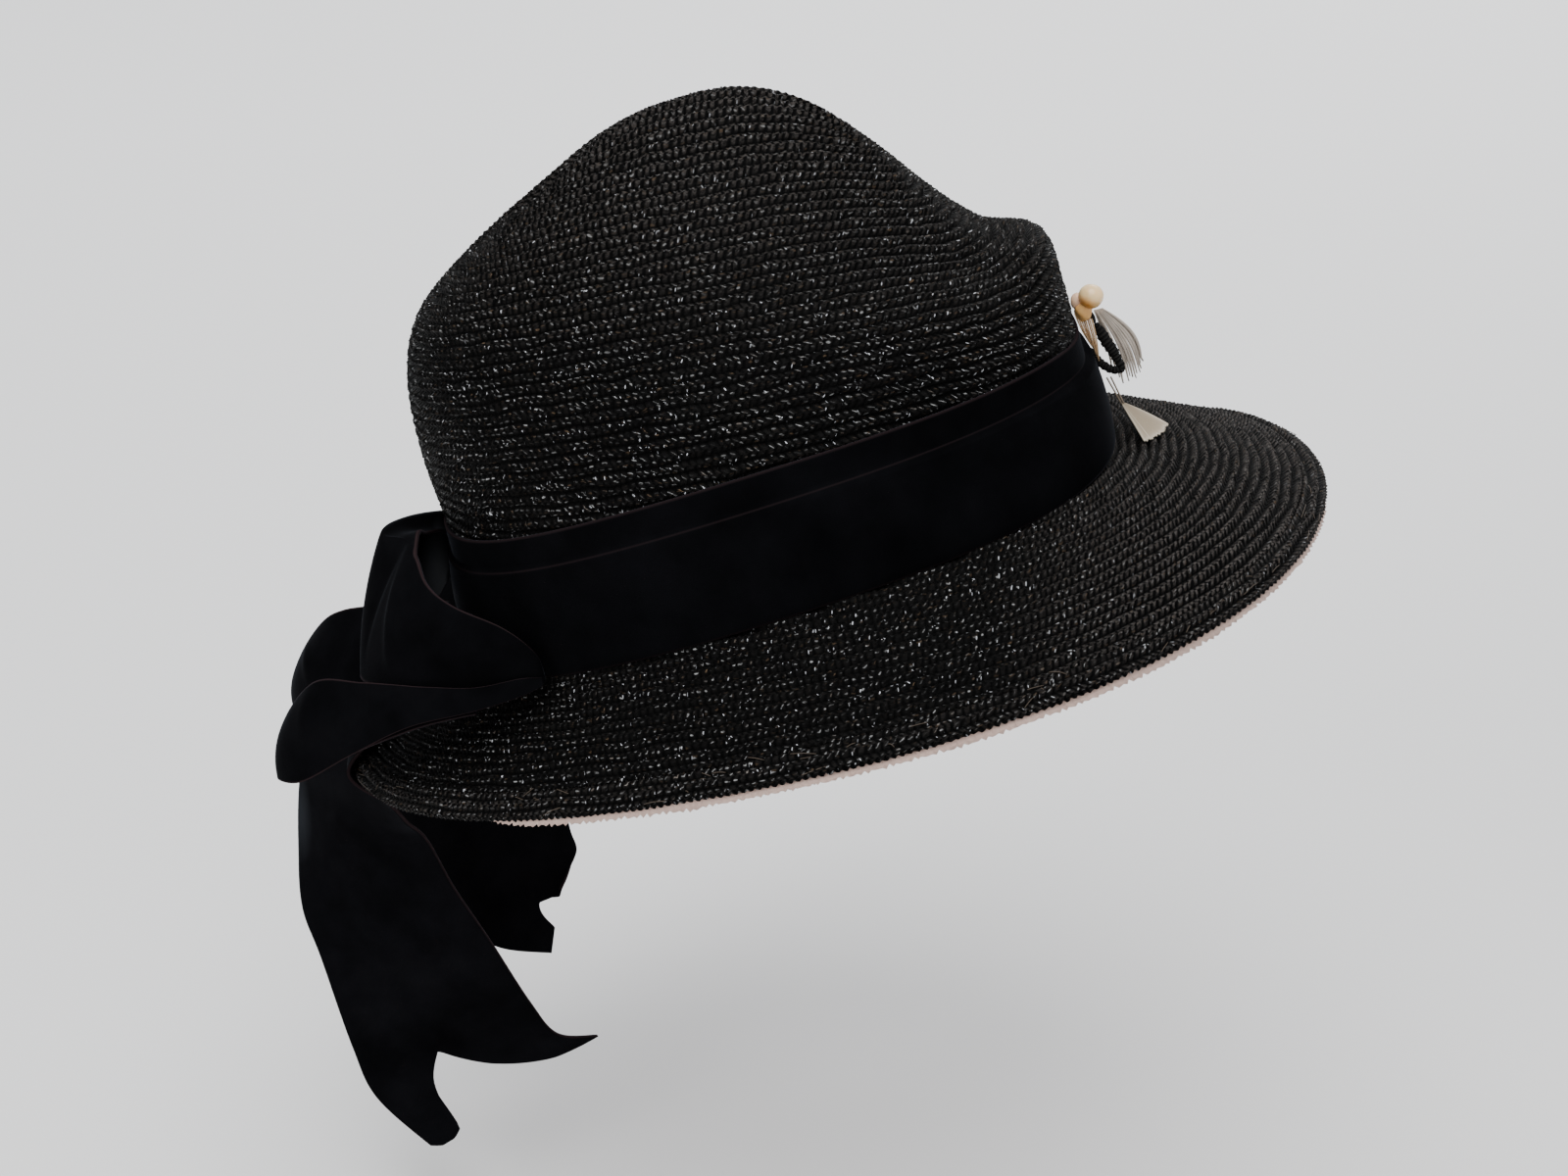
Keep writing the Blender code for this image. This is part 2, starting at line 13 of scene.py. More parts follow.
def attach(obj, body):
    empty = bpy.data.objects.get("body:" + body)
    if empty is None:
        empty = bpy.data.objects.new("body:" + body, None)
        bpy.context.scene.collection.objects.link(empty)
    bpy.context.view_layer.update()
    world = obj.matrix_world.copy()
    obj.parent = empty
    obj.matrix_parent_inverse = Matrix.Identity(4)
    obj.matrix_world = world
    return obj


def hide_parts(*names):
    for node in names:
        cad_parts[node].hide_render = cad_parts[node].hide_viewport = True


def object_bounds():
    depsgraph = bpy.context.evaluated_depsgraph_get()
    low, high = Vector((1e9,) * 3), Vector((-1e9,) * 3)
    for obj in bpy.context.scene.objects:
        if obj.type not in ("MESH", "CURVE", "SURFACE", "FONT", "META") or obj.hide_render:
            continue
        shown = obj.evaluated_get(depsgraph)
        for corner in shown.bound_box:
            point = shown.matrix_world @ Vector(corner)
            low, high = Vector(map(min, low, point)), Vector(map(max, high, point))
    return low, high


bl_info = {
    "name": "Straw hat",
    "version": (1, 0, 0),
    "blender": (4, 5, 0),
    "location": "3D View > Sidebar > Straw hat",
    "description": "A black sewn-straw hat with a velvet band and bow and a small feather trim",
    "category": "Object",
}

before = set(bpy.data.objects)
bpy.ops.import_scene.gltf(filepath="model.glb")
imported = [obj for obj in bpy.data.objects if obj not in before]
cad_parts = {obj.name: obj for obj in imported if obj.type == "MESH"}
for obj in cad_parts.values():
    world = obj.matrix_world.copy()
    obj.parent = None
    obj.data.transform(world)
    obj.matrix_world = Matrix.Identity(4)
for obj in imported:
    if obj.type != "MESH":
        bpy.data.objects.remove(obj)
SOLID_BOX = [list(corner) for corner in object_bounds()]

MM = 0.001
WORN_PITCH = radians(13.4)
GAP = 0.4
STRAW_WALL = 1.8
FACING_WALL = 1.1
VELVET_WALL = 1.2
EDGE_WIDTH = 6.8
EDGE_HEIGHT = 2.8
EDGE_PROUD = 0.9
EDGE_LAP = 0.6
BRIM_CROWNING = 2.6
FAR_FLATNESS = 0.9
KNOT_LEAN = 0.45
FACING_REACH = 0.8
FACING_TUCK = 3.0
BAND_FOLD_DROP = 9.0
CROWN_UNDER_BAND = 5.0
BRIM_UNDER_BAND = 2.5
LINING_SHARE = 0.86
RIDGE_FULLNESS = 2.5
DENT_ANGLE = radians(27.0)
DENT_SHARE = 0.42
DENT_DEPTH = 6.5
DENT_SPREAD_FORE = radians(12.0)
DENT_SPREAD_AFT = radians(26.0)
DENT_REACH = 0.14
CURL_SHARE = 0.22
SEAM = -pi / 2

# The straw: mesh lines to a row, how far rows sway (in rows) and at how many places, the grooves.
ROW_LINES = 3
SWAY = 0.3
SWAY_PLACES = 90
GROOVE_HEIGHT = -0.60
# Painted shade in the braid's gaps between knots and grooves between rows.
PAINTED_GAP_SHADE = (0.0004, 0.0004, 0.0004)
# The colour of the braid's painted glints.
GLINT_COLOUR = (0.75, 0.76, 0.80)

CAMERA_TARGET = Vector((0.0, -0.00942, -0.02517))
CAMERA_DISTANCE = 0.9

# The shapes repeat the part's own named sizes, in millimetres: fore, rise (out of the opening) and near
# (to the wearer's right). An oval's height is rise + tilt cos + saddle cos 2 + ripple cos 3 + twist sin 2
# of the angle, less a dip at one angle.
Oval = namedtuple(
    "Oval",
    "middle half_long half_wide egg rise tilt saddle ripple twist dip dip_angle dip_spread",
)
JUNCTION = Oval(0.0, 100.5, 82.2, 0.0, 0.0, 10.3, -5.7, 0.0, 0.0, 0.0, 0.0, 20.0)
BAND_TOP = Oval(1.4, 99.0, 79.1, 0.0, 41.3, 8.2, -6.2, 0.0, 0.0, 3.5, 0.0, 20.0)
RIM = Oval(6.4, 152.8, 121.0, 0.07, -26.6, 8.7, -4.3, 0.8, 1.2, 5.5, -45.0, 15.0)

CrownRing = namedtuple(
    "CrownRing",
    "share back_fore back_rise front_fore front_rise half_wide side_rise side_fore",
)
CROWN_RINGS = (
    CrownRing(0.00, -37.5, 115.0, 38.5, 121.0, 0.0, 132.2, 1.0),
    CrownRing(0.05, -46.0, 112.0, 46.5, 112.5, 10.0, 128.0, 1.0),
    CrownRing(0.12, -57.5, 107.5, 55.5, 101.5, 21.0, 119.0, 1.0),
    CrownRing(0.21, -72.0, 99.5, 66.0, 87.2, 36.0, 107.5, 1.0),
    CrownRing(0.32, -87.5, 87.5, 78.5, 75.0, 52.0, 92.0, 1.0),
    CrownRing(0.44, -95.0, 71.0, 93.0, 69.5, 65.5, 75.5, 1.0),
    CrownRing(0.57, -97.0, 49.0, 95.5, 53.5, 73.5, 60.5, 1.0),
    CrownRing(0.70, -96.0, 26.0, 96.2, 34.0, 77.0, 43.0, 0.5),
    CrownRing(0.85, -97.5, 4.0, 97.0, 19.0, 79.0, 20.0, 0.0),
    CrownRing(1.00, -98.7, -14.6, 98.5, 6.0, 80.4, 7.5, 0.0),
)

# Ribbon stations: the upper edge, the lower edge and how far the middle bellies out between them.
Edge = namedtuple("Edge", "up_fore up_rise up_near low_fore low_rise low_near belly")
LOOP_UPPER = (
    Edge(-70.0, -2.5, 65.0, -70.0, -4.5, 66.0, 0.0),
    Edge(-70.5, 5.5, 67.0, -72.5, -4.0, 69.0, 0.5),
    Edge(-76.5, 15.0, 68.0, -84.0, -1.0, 72.0, 1.5),
    Edge(-89.0, 23.0, 64.0, -97.0, 0.5, 68.5, 3.0),
    Edge(-95.5, 28.5, 58.0, -110.0, 1.0, 63.0, 3.5),
    Edge(-98.0, 34.5, 50.0, -118.5, -0.5, 54.5, 3.0),
    Edge(-102.7, 36.0, 40.0, -124.8, -2.5, 45.5, 2.5),
    Edge(-110.5, 35.0, 31.0, -127.0, -2.5, 39.0, 1.9),
    Edge(-110.1, 34.4, 22.0, -124.9, -2.0, 32.5, 1.6),
    Edge(-104.8, 32.5, 14.0, -119.0, -1.0, 28.0, 0.5),
    Edge(-100.0, 28.6, 5.5, -110.5, 3.0, 25.0, 0.0),
    Edge(-99.1, 23.6, -4.0, -104.0, 9.0, 16.0, 0.0),
    Edge(-99.4, 21.0, -13.0, -103.0, 10.0, 6.0, 0.0),
)
LOOP_REAR = (
    Edge(-101.5, 4.0, 15.0, -102.5, -9.0, 20.0, 0.0),
    Edge(-112.0, 6.5, 14.0, -113.5, -12.0, 24.0, 1.0),
    Edge(-123.5, 6.5, 12.5, -124.5, -14.5, 27.0, 2.0),
    Edge(-134.0, 6.0, 10.0, -136.0, -16.0, 27.0, 3.0),
    Edge(-142.5, 1.5, 4.0, -145.5, -18.0, 24.0, 3.0),
    Edge(-152.2, -7.8, -2.0, -154.0, -22.0, 16.0, 2.5),
    Edge(-159.3, -18.0, -10.0, -159.3, -27.5, 6.0, 2.0),
    Edge(-158.5, -23.0, -19.0, -158.5, -32.5, -5.0, 1.5),
    Edge(-148.0, -18.0, -26.0, -149.0, -29.0, -13.0, 1.0),
    Edge(-130.0, -10.0, -25.0, -131.0, -21.0, -13.0, 1.0),
    Edge(-112.0, -3.0, -20.0, -113.0, -13.0, -10.0, 0.5),
    Edge(-103.0, 2.0, -15.0, -103.5, -9.0, -8.0, 0.0),
)
LOOP_LOWER = (
    Edge(-70.0, -2.0, 69.0, -70.0, -4.0, 70.0, 0.0),
    Edge(-75.5, 0.5, 72.0, -76.0, -4.0, 74.0, 0.0),
    Edge(-88.0, 1.5, 74.0, -89.0, -4.0, 77.0, 0.5),
    Edge(-103.5, 3.0, 69.0, -109.5, -6.5, 73.0, 1.0),
    Edge(-122.0, 3.0, 58.0, -130.0, -15.0, 65.0, 2.5),
    Edge(-138.5, 1.5, 47.0, -149.0, -24.0, 57.0, 3.0),
    Edge(-154.0, -13.0, 37.0, -159.5, -27.5, 44.0, 1.5),
    Edge(-153.0, -21.0, 30.5, -153.0, -30.0, 38.0, 0.0),
    Edge(-137.0, -15.5, 38.0, -137.0, -24.0, 46.0, 0.0),
    Edge(-112.5, -9.5, 50.0, -111.5, -15.0, 57.0, 0.0),
    Edge(-93.0, -7.0, 60.0, -92.0, -11.0, 64.5, 0.0),
)
TAIL_LONG = (
    Edge(-105.0, -11.5, -24.0, -105.0, -13.0, 24.0, 0.0),
    Edge(-125.0, -23.5, -24.0, -124.0, -24.5, 25.0, 0.0),
    Edge(-146.0, -32.0, -17.0, -143.5, -37.5, 29.0, 0.0),
    Edge(-163.5, -42.0, -9.0, -133.0, -49.0, 34.0, 1.0),
    Edge(-171.8, -58.0, -12.0, -131.5, -59.0, 28.0, 2.5),
    Edge(-178.0, -78.0, -9.0, -130.5, -72.0, 17.0, 3.0),
    Edge(-182.0, -97.0, -4.0, -128.0, -92.0, 14.0, 2.0),
    Edge(-180.0, -113.5, 2.0, -123.5, -114.5, 10.5, 1.0),
    Edge(-179.0, -145.5, 6.0, -119.0, -144.0, 4.0, 0.0),
    Edge(-176.0, -165.0, 9.0, -115.0, -161.5, -2.0, 0.0),
    Edge(-161.5, -186.0, 14.0, -104.5, -170.0, -10.0, 0.0),
)
TAIL_SHORT = (
    Edge(-104.0, -11.5, -31.0, -86.0, -8.0, -51.0, 0.0),
    Edge(-121.0, -24.0, -41.0, -92.0, -17.0, -70.0, 0.5),
    Edge(-134.0, -32.0, -50.0, -93.0, -26.0, -88.0, 0.5),
    Edge(-151.5, -42.0, -58.0, -97.0, -36.5, -99.5, 0.0),
    Edge(-164.5, -64.0, -61.0, -101.0, -60.0, -101.5, 1.5),
    Edge(-171.0, -88.0, -60.0, -106.0, -95.0, -99.0, 3.0),
    Edge(-169.0, -108.0, -58.0, -111.5, -133.0, -95.0, 2.0),
    Edge(-162.5, -128.5, -60.0, -110.5, -143.0, -90.0, 1.0),
    Edge(-152.5, -147.0, -63.0, -112.5, -145.5, -84.0, 0.0),
    Edge(-141.5, -162.0, -66.0, -114.5, -147.5, -79.0, 0.0),
    Edge(-125.0, -169.5, -68.0, -117.0, -149.5, -75.0, 0.0),
)

# The line that the upper loop's edge lies along where it curls over on the far side.
Barb = namedtuple("Barb", "fore rise near")
UPPER_CREST = (
    Barb(-98.0, 35.0, 50.0),
    Barb(-97.8, 37.0, 42.0),
    Barb(-98.0, 36.0, 36.0),
    Barb(-98.8, 32.5, 29.0),
    Barb(-99.4, 29.5, 22.5),
    Barb(-99.9, 26.5, 15.0),
    Barb(-100.2, 22.5, 8.0),
    Barb(-100.0, 19.0, 1.0),
)

# Soft folds of the ribbons: place along, slant across, width and depth.
Fold = namedtuple("Fold", "place slant width depth")
UPPER_FOLDS = (Fold(0.30, 0.16, 0.022, 0.9), Fold(0.41, -0.10, 0.018, -0.8), Fold(0.50, 0.05, 0.016, 0.7))
REAR_FOLDS = (Fold(0.27, 0.10, 0.02, 0.8), Fold(0.40, -0.06, 0.016, -0.6))
LOWER_FOLDS = (Fold(0.36, 0.12, 0.02, 0.7), Fold(0.49, -0.05, 0.014, -0.6))
TAIL_FOLDS = (Fold(0.22, 0.05, 0.03, 1.0), Fold(0.46, -0.22, 0.04, -1.2), Fold(0.66, 0.15, 0.035, 1.0))

# How much of a tail's length the dovetail leaves off, across it from the upper edge (0) to the lower (1).
Cut = namedtuple("Cut", "across short")
LONG_DOVETAIL = (
    Cut(0.0, 0.016),
    Cut(0.04, 0.003),
    Cut(0.11, 0.0),
    Cut(0.17, 0.012),
    Cut(0.25, 0.07),
    Cut(0.42, 0.155),
    Cut(0.6, 0.09),
    Cut(0.8, 0.03),
    Cut(1.0, 0.0),
)
SHORT_DOVETAIL = (
    Cut(0.0, 0.0),
    Cut(0.4, 0.0),
    Cut(0.5, 0.05),
    Cut(0.62, 0.11),
    Cut(0.75, 0.08),
    Cut(0.87, 0.02),
    Cut(1.0, 0.0),
)

# The trim at the front, a little to the wearer's left of the middle.
Bulb = namedtuple("Bulb", "fore rise near half_wide half_high lean")
BEAD = Bulb(103.2, 45.0, -8.5, 3.8, 3.6, 0.0)
BUD = Bulb(100.2, 40.9, -9.6, 2.7, 3.3, 12.0)
SEED = Bulb(98.6, 44.4, -9.5, 1.7, 2.6, -20.0)
Strand = namedtuple("Strand", "fore rise near radius")
WRAPPED_LOOP = (
    Strand(103.9, 34.5, -11.0, 0.9),
    Strand(104.9, 31.5, -11.2, 1.2),
    Strand(106.0, 28.0, -11.4, 1.3),
    Strand(107.2, 25.0, -11.4, 1.3),
    Strand(108.0, 22.2, -11.4, 1.2),
    Strand(108.7, 18.9, -11.2, 1.1),
    Strand(106.2, 19.1, -11.0, 1.2),
    Strand(104.1, 20.8, -11.0, 1.2),
    Strand(102.5, 22.8, -11.0, 1.2),
    Strand(101.5, 25.2, -11.2, 1.1),
)
PLUME_ROOT = Barb(104.5, 38.4, -14.5)
PLUME_TIPS = (
    Barb(104.9, 15.6, -16.0),
    Barb(107.2, 12.6, -16.5),
    Barb(109.8, 12.2, -17.0),
    Barb(112.0, 12.9, -17.5),
    Barb(113.6, 14.8, -17.5),
    Barb(114.6, 18.0, -17.5),
)
PLUME_SWELL = 2.8
PETAL_ROOT = Barb(103.6, 17.6, -12.0)
PETAL_NECK = Barb(106.1, 8.4, -12.0)
PETAL_TIPS = (
    Barb(109.5, 3.4, 9.0),
    Barb(112.6, 2.2, 5.0),
    Barb(115.9, 1.3, 0.0),
    Barb(118.3, 0.8, -6.0),
)


def size_property(name, description, default):
    limits = {"min": 0.0, "max": 1.0, "subtype": "DISTANCE", "unit": "LENGTH"}
    return FloatProperty(name=name, description=description, default=default, **limits)


def number_property(name, description, default, low=0.0):
    return FloatProperty(name=name, description=description, default=default, min=low)


def count_property(name, description, default, low, high):
    return IntProperty(name=name, description=description, default=default, min=low, max=high)


def colour_property(name, description, default):
    limits = {"size": 3, "min": 0.0, "max": 1.0, "subtype": "COLOR"}
    return FloatVectorProperty(name=name, description=description, default=default, **limits)


class StrawSettings(bpy.types.PropertyGroup):
    crown_row: size_property("Crown row", "Width of one sewn braid row on the crown", 0.0033)
    brim_row: size_property("Brim row", "Width of one sewn braid row on the brim", 0.0031)
    knot: size_property("Knot", "Length of one knot of the braid", 0.0022)
    relief: size_property("Relief", "How far a braid row stands out of its grooves", 0.0015)
    loose: count_property("Loose fibres", "Number of fibres frayed out", 110, 0, 400)
    straw: colour_property("Straw", "Colour of the dyed straw", (0.0020, 0.0019, 0.0020))
    worn: colour_property("Worn straw", "Colour of straw dulled by light and age", (0.0052, 0.0046, 0.0042))
    # Colour of the painted highlights on the knots.
    painted_highlight: colour_property("Streak", "Colour of the lit strands of a knot", (0.35, 0.35, 0.345))
    # Colour of the painted sheen, a paler grey laid where the straw faces the light.
    painted_sheen: colour_property("Painted sheen", "Colour of straw browned by the sun", (0.0310, 0.0272, 0.0250))
    fibre: colour_property("Fibre", "Colour of fibres that have lost their dye", (0.070, 0.046, 0.027))
    facing: colour_property("Facing", "Colour of the pale straw under the brim", (0.66, 0.47, 0.40))


class RibbonSettings(bpy.types.PropertyGroup):
    thickness: size_property("Thickness", "Thickness of the velvet", 0.0010)
    pile: colour_property("Pile", "Colour of the velvet pile", (0.0019, 0.0019, 0.0023))
    # Also the colour of the painted highlight along the band's tuck.
    selvedge_and_tuck_sheen: colour_property("Selvedge and tuck sheen", "Colour of the woven edges of the ribbon", (0.019, 0.012, 0.013))


class TrimSettings(bpy.types.PropertyGroup):
    barbs: count_property("Barbs", "Number of barbs in the plume", 13, 4, 80)
    threads: count_property("Threads", "Number of threads below the bud", 8, 3, 20)
    bead: colour_property("Bead", "Colour of the translucent bead", (0.82, 0.58, 0.29))
    amber: colour_property("Amber", "Colour of the bud and of the glow in the bead", (0.80, 0.36, 0.08))
    feather: colour_property("Feather", "Colour of the trimmed feather", (0.30, 0.232, 0.150))
    barb: colour_property("Barb", "Colour of the plume's barbs", (0.33, 0.285, 0.24))


class StageSettings(bpy.types.PropertyGroup):
    floor: colour_property("Floor", "Colour of the studio floor", (0.95, 0.94, 0.93))
    key: number_property("Key light", "Power of the soft overhead light", 25.0)
    sky: number_property("Sky", "Strength of the even light all round", 1.08)
    lens: number_property("Lens", "Focal length of the camera", 68.2, 10.0)


class HatSettings(bpy.types.PropertyGroup):
    straw: PointerProperty(type=StrawSettings)
    ribbon: PointerProperty(type=RibbonSettings)
    trim: PointerProperty(type=TrimSettings)
    stage: PointerProperty(type=StageSettings)


def smoothstep(t):
    t = np.clip(t, 0.0, 1.0)
    return t * t * (3.0 - 2.0 * t)


def blend_rows(rows, place, columns):
    """Values of the named columns at places counted in rows, on a smooth curve through all the rows."""
    table = np.array([[getattr(row, column) for column in columns] for row in rows])
    last = len(rows) - 1
    i = np.clip(np.floor(place).astype(int), 0, last - 1)
    t = (np.asarray(place) - i)[..., None]
    p0, p1 = table[np.maximum(i - 1, 0)], table[i]
    p2, p3 = table[i + 1], table[np.minimum(i + 2, last)]
    curve = 2 * p1 + (p2 - p0) * t + (2 * p0 - 5 * p1 + 4 * p2 - p3) * t**2
    return 0.5 * (curve + (3 * p1 - p0 - 3 * p2 + p3) * t**3)


def to_world(points):
    """Points given as fore, rise and near in millimetres, pitched back as worn and in metres."""
    fore, rise, near = points[..., 0], points[..., 1], points[..., 2]
    y = -fore * cos(WORN_PITCH) + rise * sin(WORN_PITCH)
    z = fore * sin(WORN_PITCH) + rise * cos(WORN_PITCH)
    return np.stack((-near, y, z), axis=-1) * MM


def oval_points(oval, angle):
    c = np.cos(angle)
    rise = oval.rise + oval.tilt * c + oval.saddle * np.cos(2 * angle)
    rise = rise + oval.ripple * np.cos(3 * angle) + oval.twist * np.sin(2 * angle)
    turn = np.mod(angle - radians(oval.dip_angle) + pi, 2 * pi) - pi
    rise = rise - oval.dip * np.exp(-((turn / radians(oval.dip_spread)) ** 2))
    near = oval.half_wide * (1.0 + oval.egg * c) * np.sin(angle)
    return oval.middle + oval.half_long * c, rise, near


def crown_points(angle, share):
    """The crown's outer surface, from its ridge (share 0) to the opening (share 1)."""
    shares = [ring.share for ring in CROWN_RINGS]
    place = np.interp(share, shares, np.arange(len(shares)))
    values = blend_rows(CROWN_RINGS, place, CrownRing._fields[1:])
    back, back_rise, front, front_rise, wide, side_rise, side = np.moveaxis(values, -1, 0)
    c = np.cos(angle)
    fore = side + (front - back) / 2 * c + ((front + back) / 2 - side) * c * c
    ends = (front_rise + back_rise) / 2 - side_rise
    rise = side_rise + (front_rise - back_rise) / 2 * c + ends * np.abs(c) ** RIDGE_FULLNESS
    turn = np.mod(angle, 2 * pi)
    turn = np.minimum(turn, 2 * pi - turn) - DENT_ANGLE
    spread = np.where(turn < 0, DENT_SPREAD_FORE, DENT_SPREAD_AFT)
    dent = DENT_DEPTH * np.exp(-((turn / spread) ** 2) - ((share - DENT_SHARE) / DENT_REACH) ** 2)
    near = wide * np.sin(angle) - dent * 0.4 * np.sin(angle)
    return np.stack((fore - dent * 0.25 * c, rise - dent * 0.85, near), axis=-1)


def crown_at_rise(angle, rise):
    """The crown's outer point at a height on its wall, where the band lies."""
    low, high = np.full_like(angle, 0.5), np.ones_like(angle)
    for _ in range(24):
        middle = (low + high) / 2
        above = crown_points(angle, middle)[..., 1] > rise
        low, high = np.where(above, middle, low), np.where(above, high, middle)
    return crown_points(angle, (low + high) / 2)


def brim_run(angle):
    """Length of the brim from the junction to the rim, along its slope."""
    junction, rim = np.stack(oval_points(JUNCTION, angle)), np.stack(oval_points(RIM, angle))
    return np.linalg.norm(rim - junction, axis=0)


def brim_points(angle, share, lift=0.0):
    """The brim's upper surface from the junction (share 0) to the rim (share 1), lifted square to itself."""
    j_fore, j_rise, j_near = oval_points(JUNCTION, angle)
    r_fore, r_rise, r_near = oval_points(RIM, angle)
    run = np.hypot(r_fore - j_fore, r_near - j_near)
    crowning = BRIM_CROWNING * (1.0 - FAR_FLATNESS * smoothstep(-np.sin(angle) * 1.6))
    rise = j_rise + (r_rise - j_rise) * share + crowning * np.sin(pi * np.clip(share, 0.0, 1.0))
    fall = (j_rise - r_rise) / run
    length = np.hypot(1.0, fall)
    out = lift * fall / length
    fore = j_fore + (r_fore - j_fore) * share + (r_fore - j_fore) / run * out
    near = j_near + (r_near - j_near) * share + (r_near - j_near) / run * out
    return np.stack((fore, rise + lift / length, near), axis=-1)


def band_points(angle, share):
    """The band's outer face, from its upper edge (share 0) to its lower edge on the brim (share 1)."""
    top_rise = oval_points(BAND_TOP, angle)[1]
    low_rise = oval_points(JUNCTION, angle)[1] + GAP
    rise = top_rise + (low_rise - top_rise) * share
    wall = crown_at_rise(angle, rise)
    fore, near = wall[..., 0], wall[..., 2]
    fore_way, near_way = fore / JUNCTION.half_long**2, near / JUNCTION.half_wide**2
    fold = top_rise - BAND_FOLD_DROP
    down = np.clip((fold - rise) / (fold - low_rise), 0.0, 1.0)
    under = smoothstep((fold - rise) / 0.7)
    full = 1.1 + 1.2 * np.sin(pi * down) + 1.2 * smoothstep(np.cos(angle)) * (1 - 0.6 * down)
    out = (GAP + VELVET_WALL + under * full) / np.hypot(fore_way, near_way)
    return np.stack((fore + fore_way * out, rise, near + near_way * out), axis=-1)


def square_to(first, second):
    """Unit vectors square to two directions given as fore, rise and near."""
    swapped = [0, 2, 1]
    out = np.cross(first[..., swapped], second[..., swapped])[..., swapped]
    return out / np.maximum(np.linalg.norm(out, axis=-1, keepdims=True), 1e-9)


def ribbon_points(stations, u, v):
    """Points of a ribbon: v along it, u from its upper edge to its lower one, bellied square to both."""
    last = len(stations) - 1
    place = v * last
    values = blend_rows(stations, place, Edge._fields)
    ahead = blend_rows(stations, np.minimum(place + 0.05, last), Edge._fields)
    behind = blend_rows(stations, np.maximum(place - 0.05, 0.0), Edge._fields)
    upper, lower = values[..., 0:3], values[..., 3:6]
    along = ahead[..., 0:3] + ahead[..., 3:6] - behind[..., 0:3] - behind[..., 3:6]
    belly = (values[..., 6] * 4 * u * (1 - u))[..., None]
    return upper + (lower - upper) * u[..., None] + square_to(lower - upper, along) * belly


def fan_points(root, tips, swell, across, along):
    """Points of a fan of barbs: from its root to its tips, arched forward on the way."""
    tips = np.array(tips)
    i = np.clip((across * (len(tips) - 1)).astype(int), 0, len(tips) - 2)
    t = (across * (len(tips) - 1) - i)[..., None]
    tip = tips[i] * (1 - t) + tips[i + 1] * t
    points = np.array(root) * (1 - along[..., None]) + tip * along[..., None]
    points[..., 0] += swell * np.sin(pi * np.minimum(1.0, along * 1.05)) * (0.3 + 0.7 * across)
    return points


def place_grid(points, uv_of):
    """A primitive grid carried onto points[row, column] in metres; uv_of maps a face corner."""
    rows, columns = points.shape[0] - 1, points.shape[1] - 1
    bm = bmesh.new()
    bmesh.ops.create_grid(bm, x_segments=columns, y_segments=rows, size=1.0)
    uv = bm.loops.layers.uv.new("UVMap")
    bm.verts.layers.float.new("lift")
    where = {v: (round((v.co.x + 1) / 2 * columns), round((v.co.y + 1) / 2 * rows)) for v in bm.verts}
    for face in bm.faces:
        corners = [where[loop.vert] for loop in face.loops]
        top = min(row for _, row in corners)
        for loop, (column, row) in zip(face.loops, corners):
            loop[uv].uv = uv_of(column, row, top)
    for vert, (column, row) in where.items():
        vert.co = points[row, column]
    return bm, where


def mapped_grid(points, across=1.0, along=1.0, turned=False):
    """A plain grid whose map runs 0 to across over its columns and 0 to along over its rows."""
    rows, columns = points.shape[0] - 1, points.shape[1] - 1

    def uv_of(column, row, top):
        u, v = column / columns * across, row / rows * along
        return (v, u) if turned else (u, v)

    return place_grid(points, uv_of)[0]


def close_and_face(bm, towards):
    """Merges the seam's doubles and turns the faces the way that towards(centre) points."""
    bmesh.ops.remove_doubles(bm, verts=bm.verts, dist=2e-6)
    bm.normal_update()
    agree = sum(face.normal.dot(towards(face.calc_center_median())) * face.calc_area() for face in bm.faces)
    if agree < 0:
        bmesh.ops.reverse_faces(bm, faces=bm.faces)
        bm.normal_update()


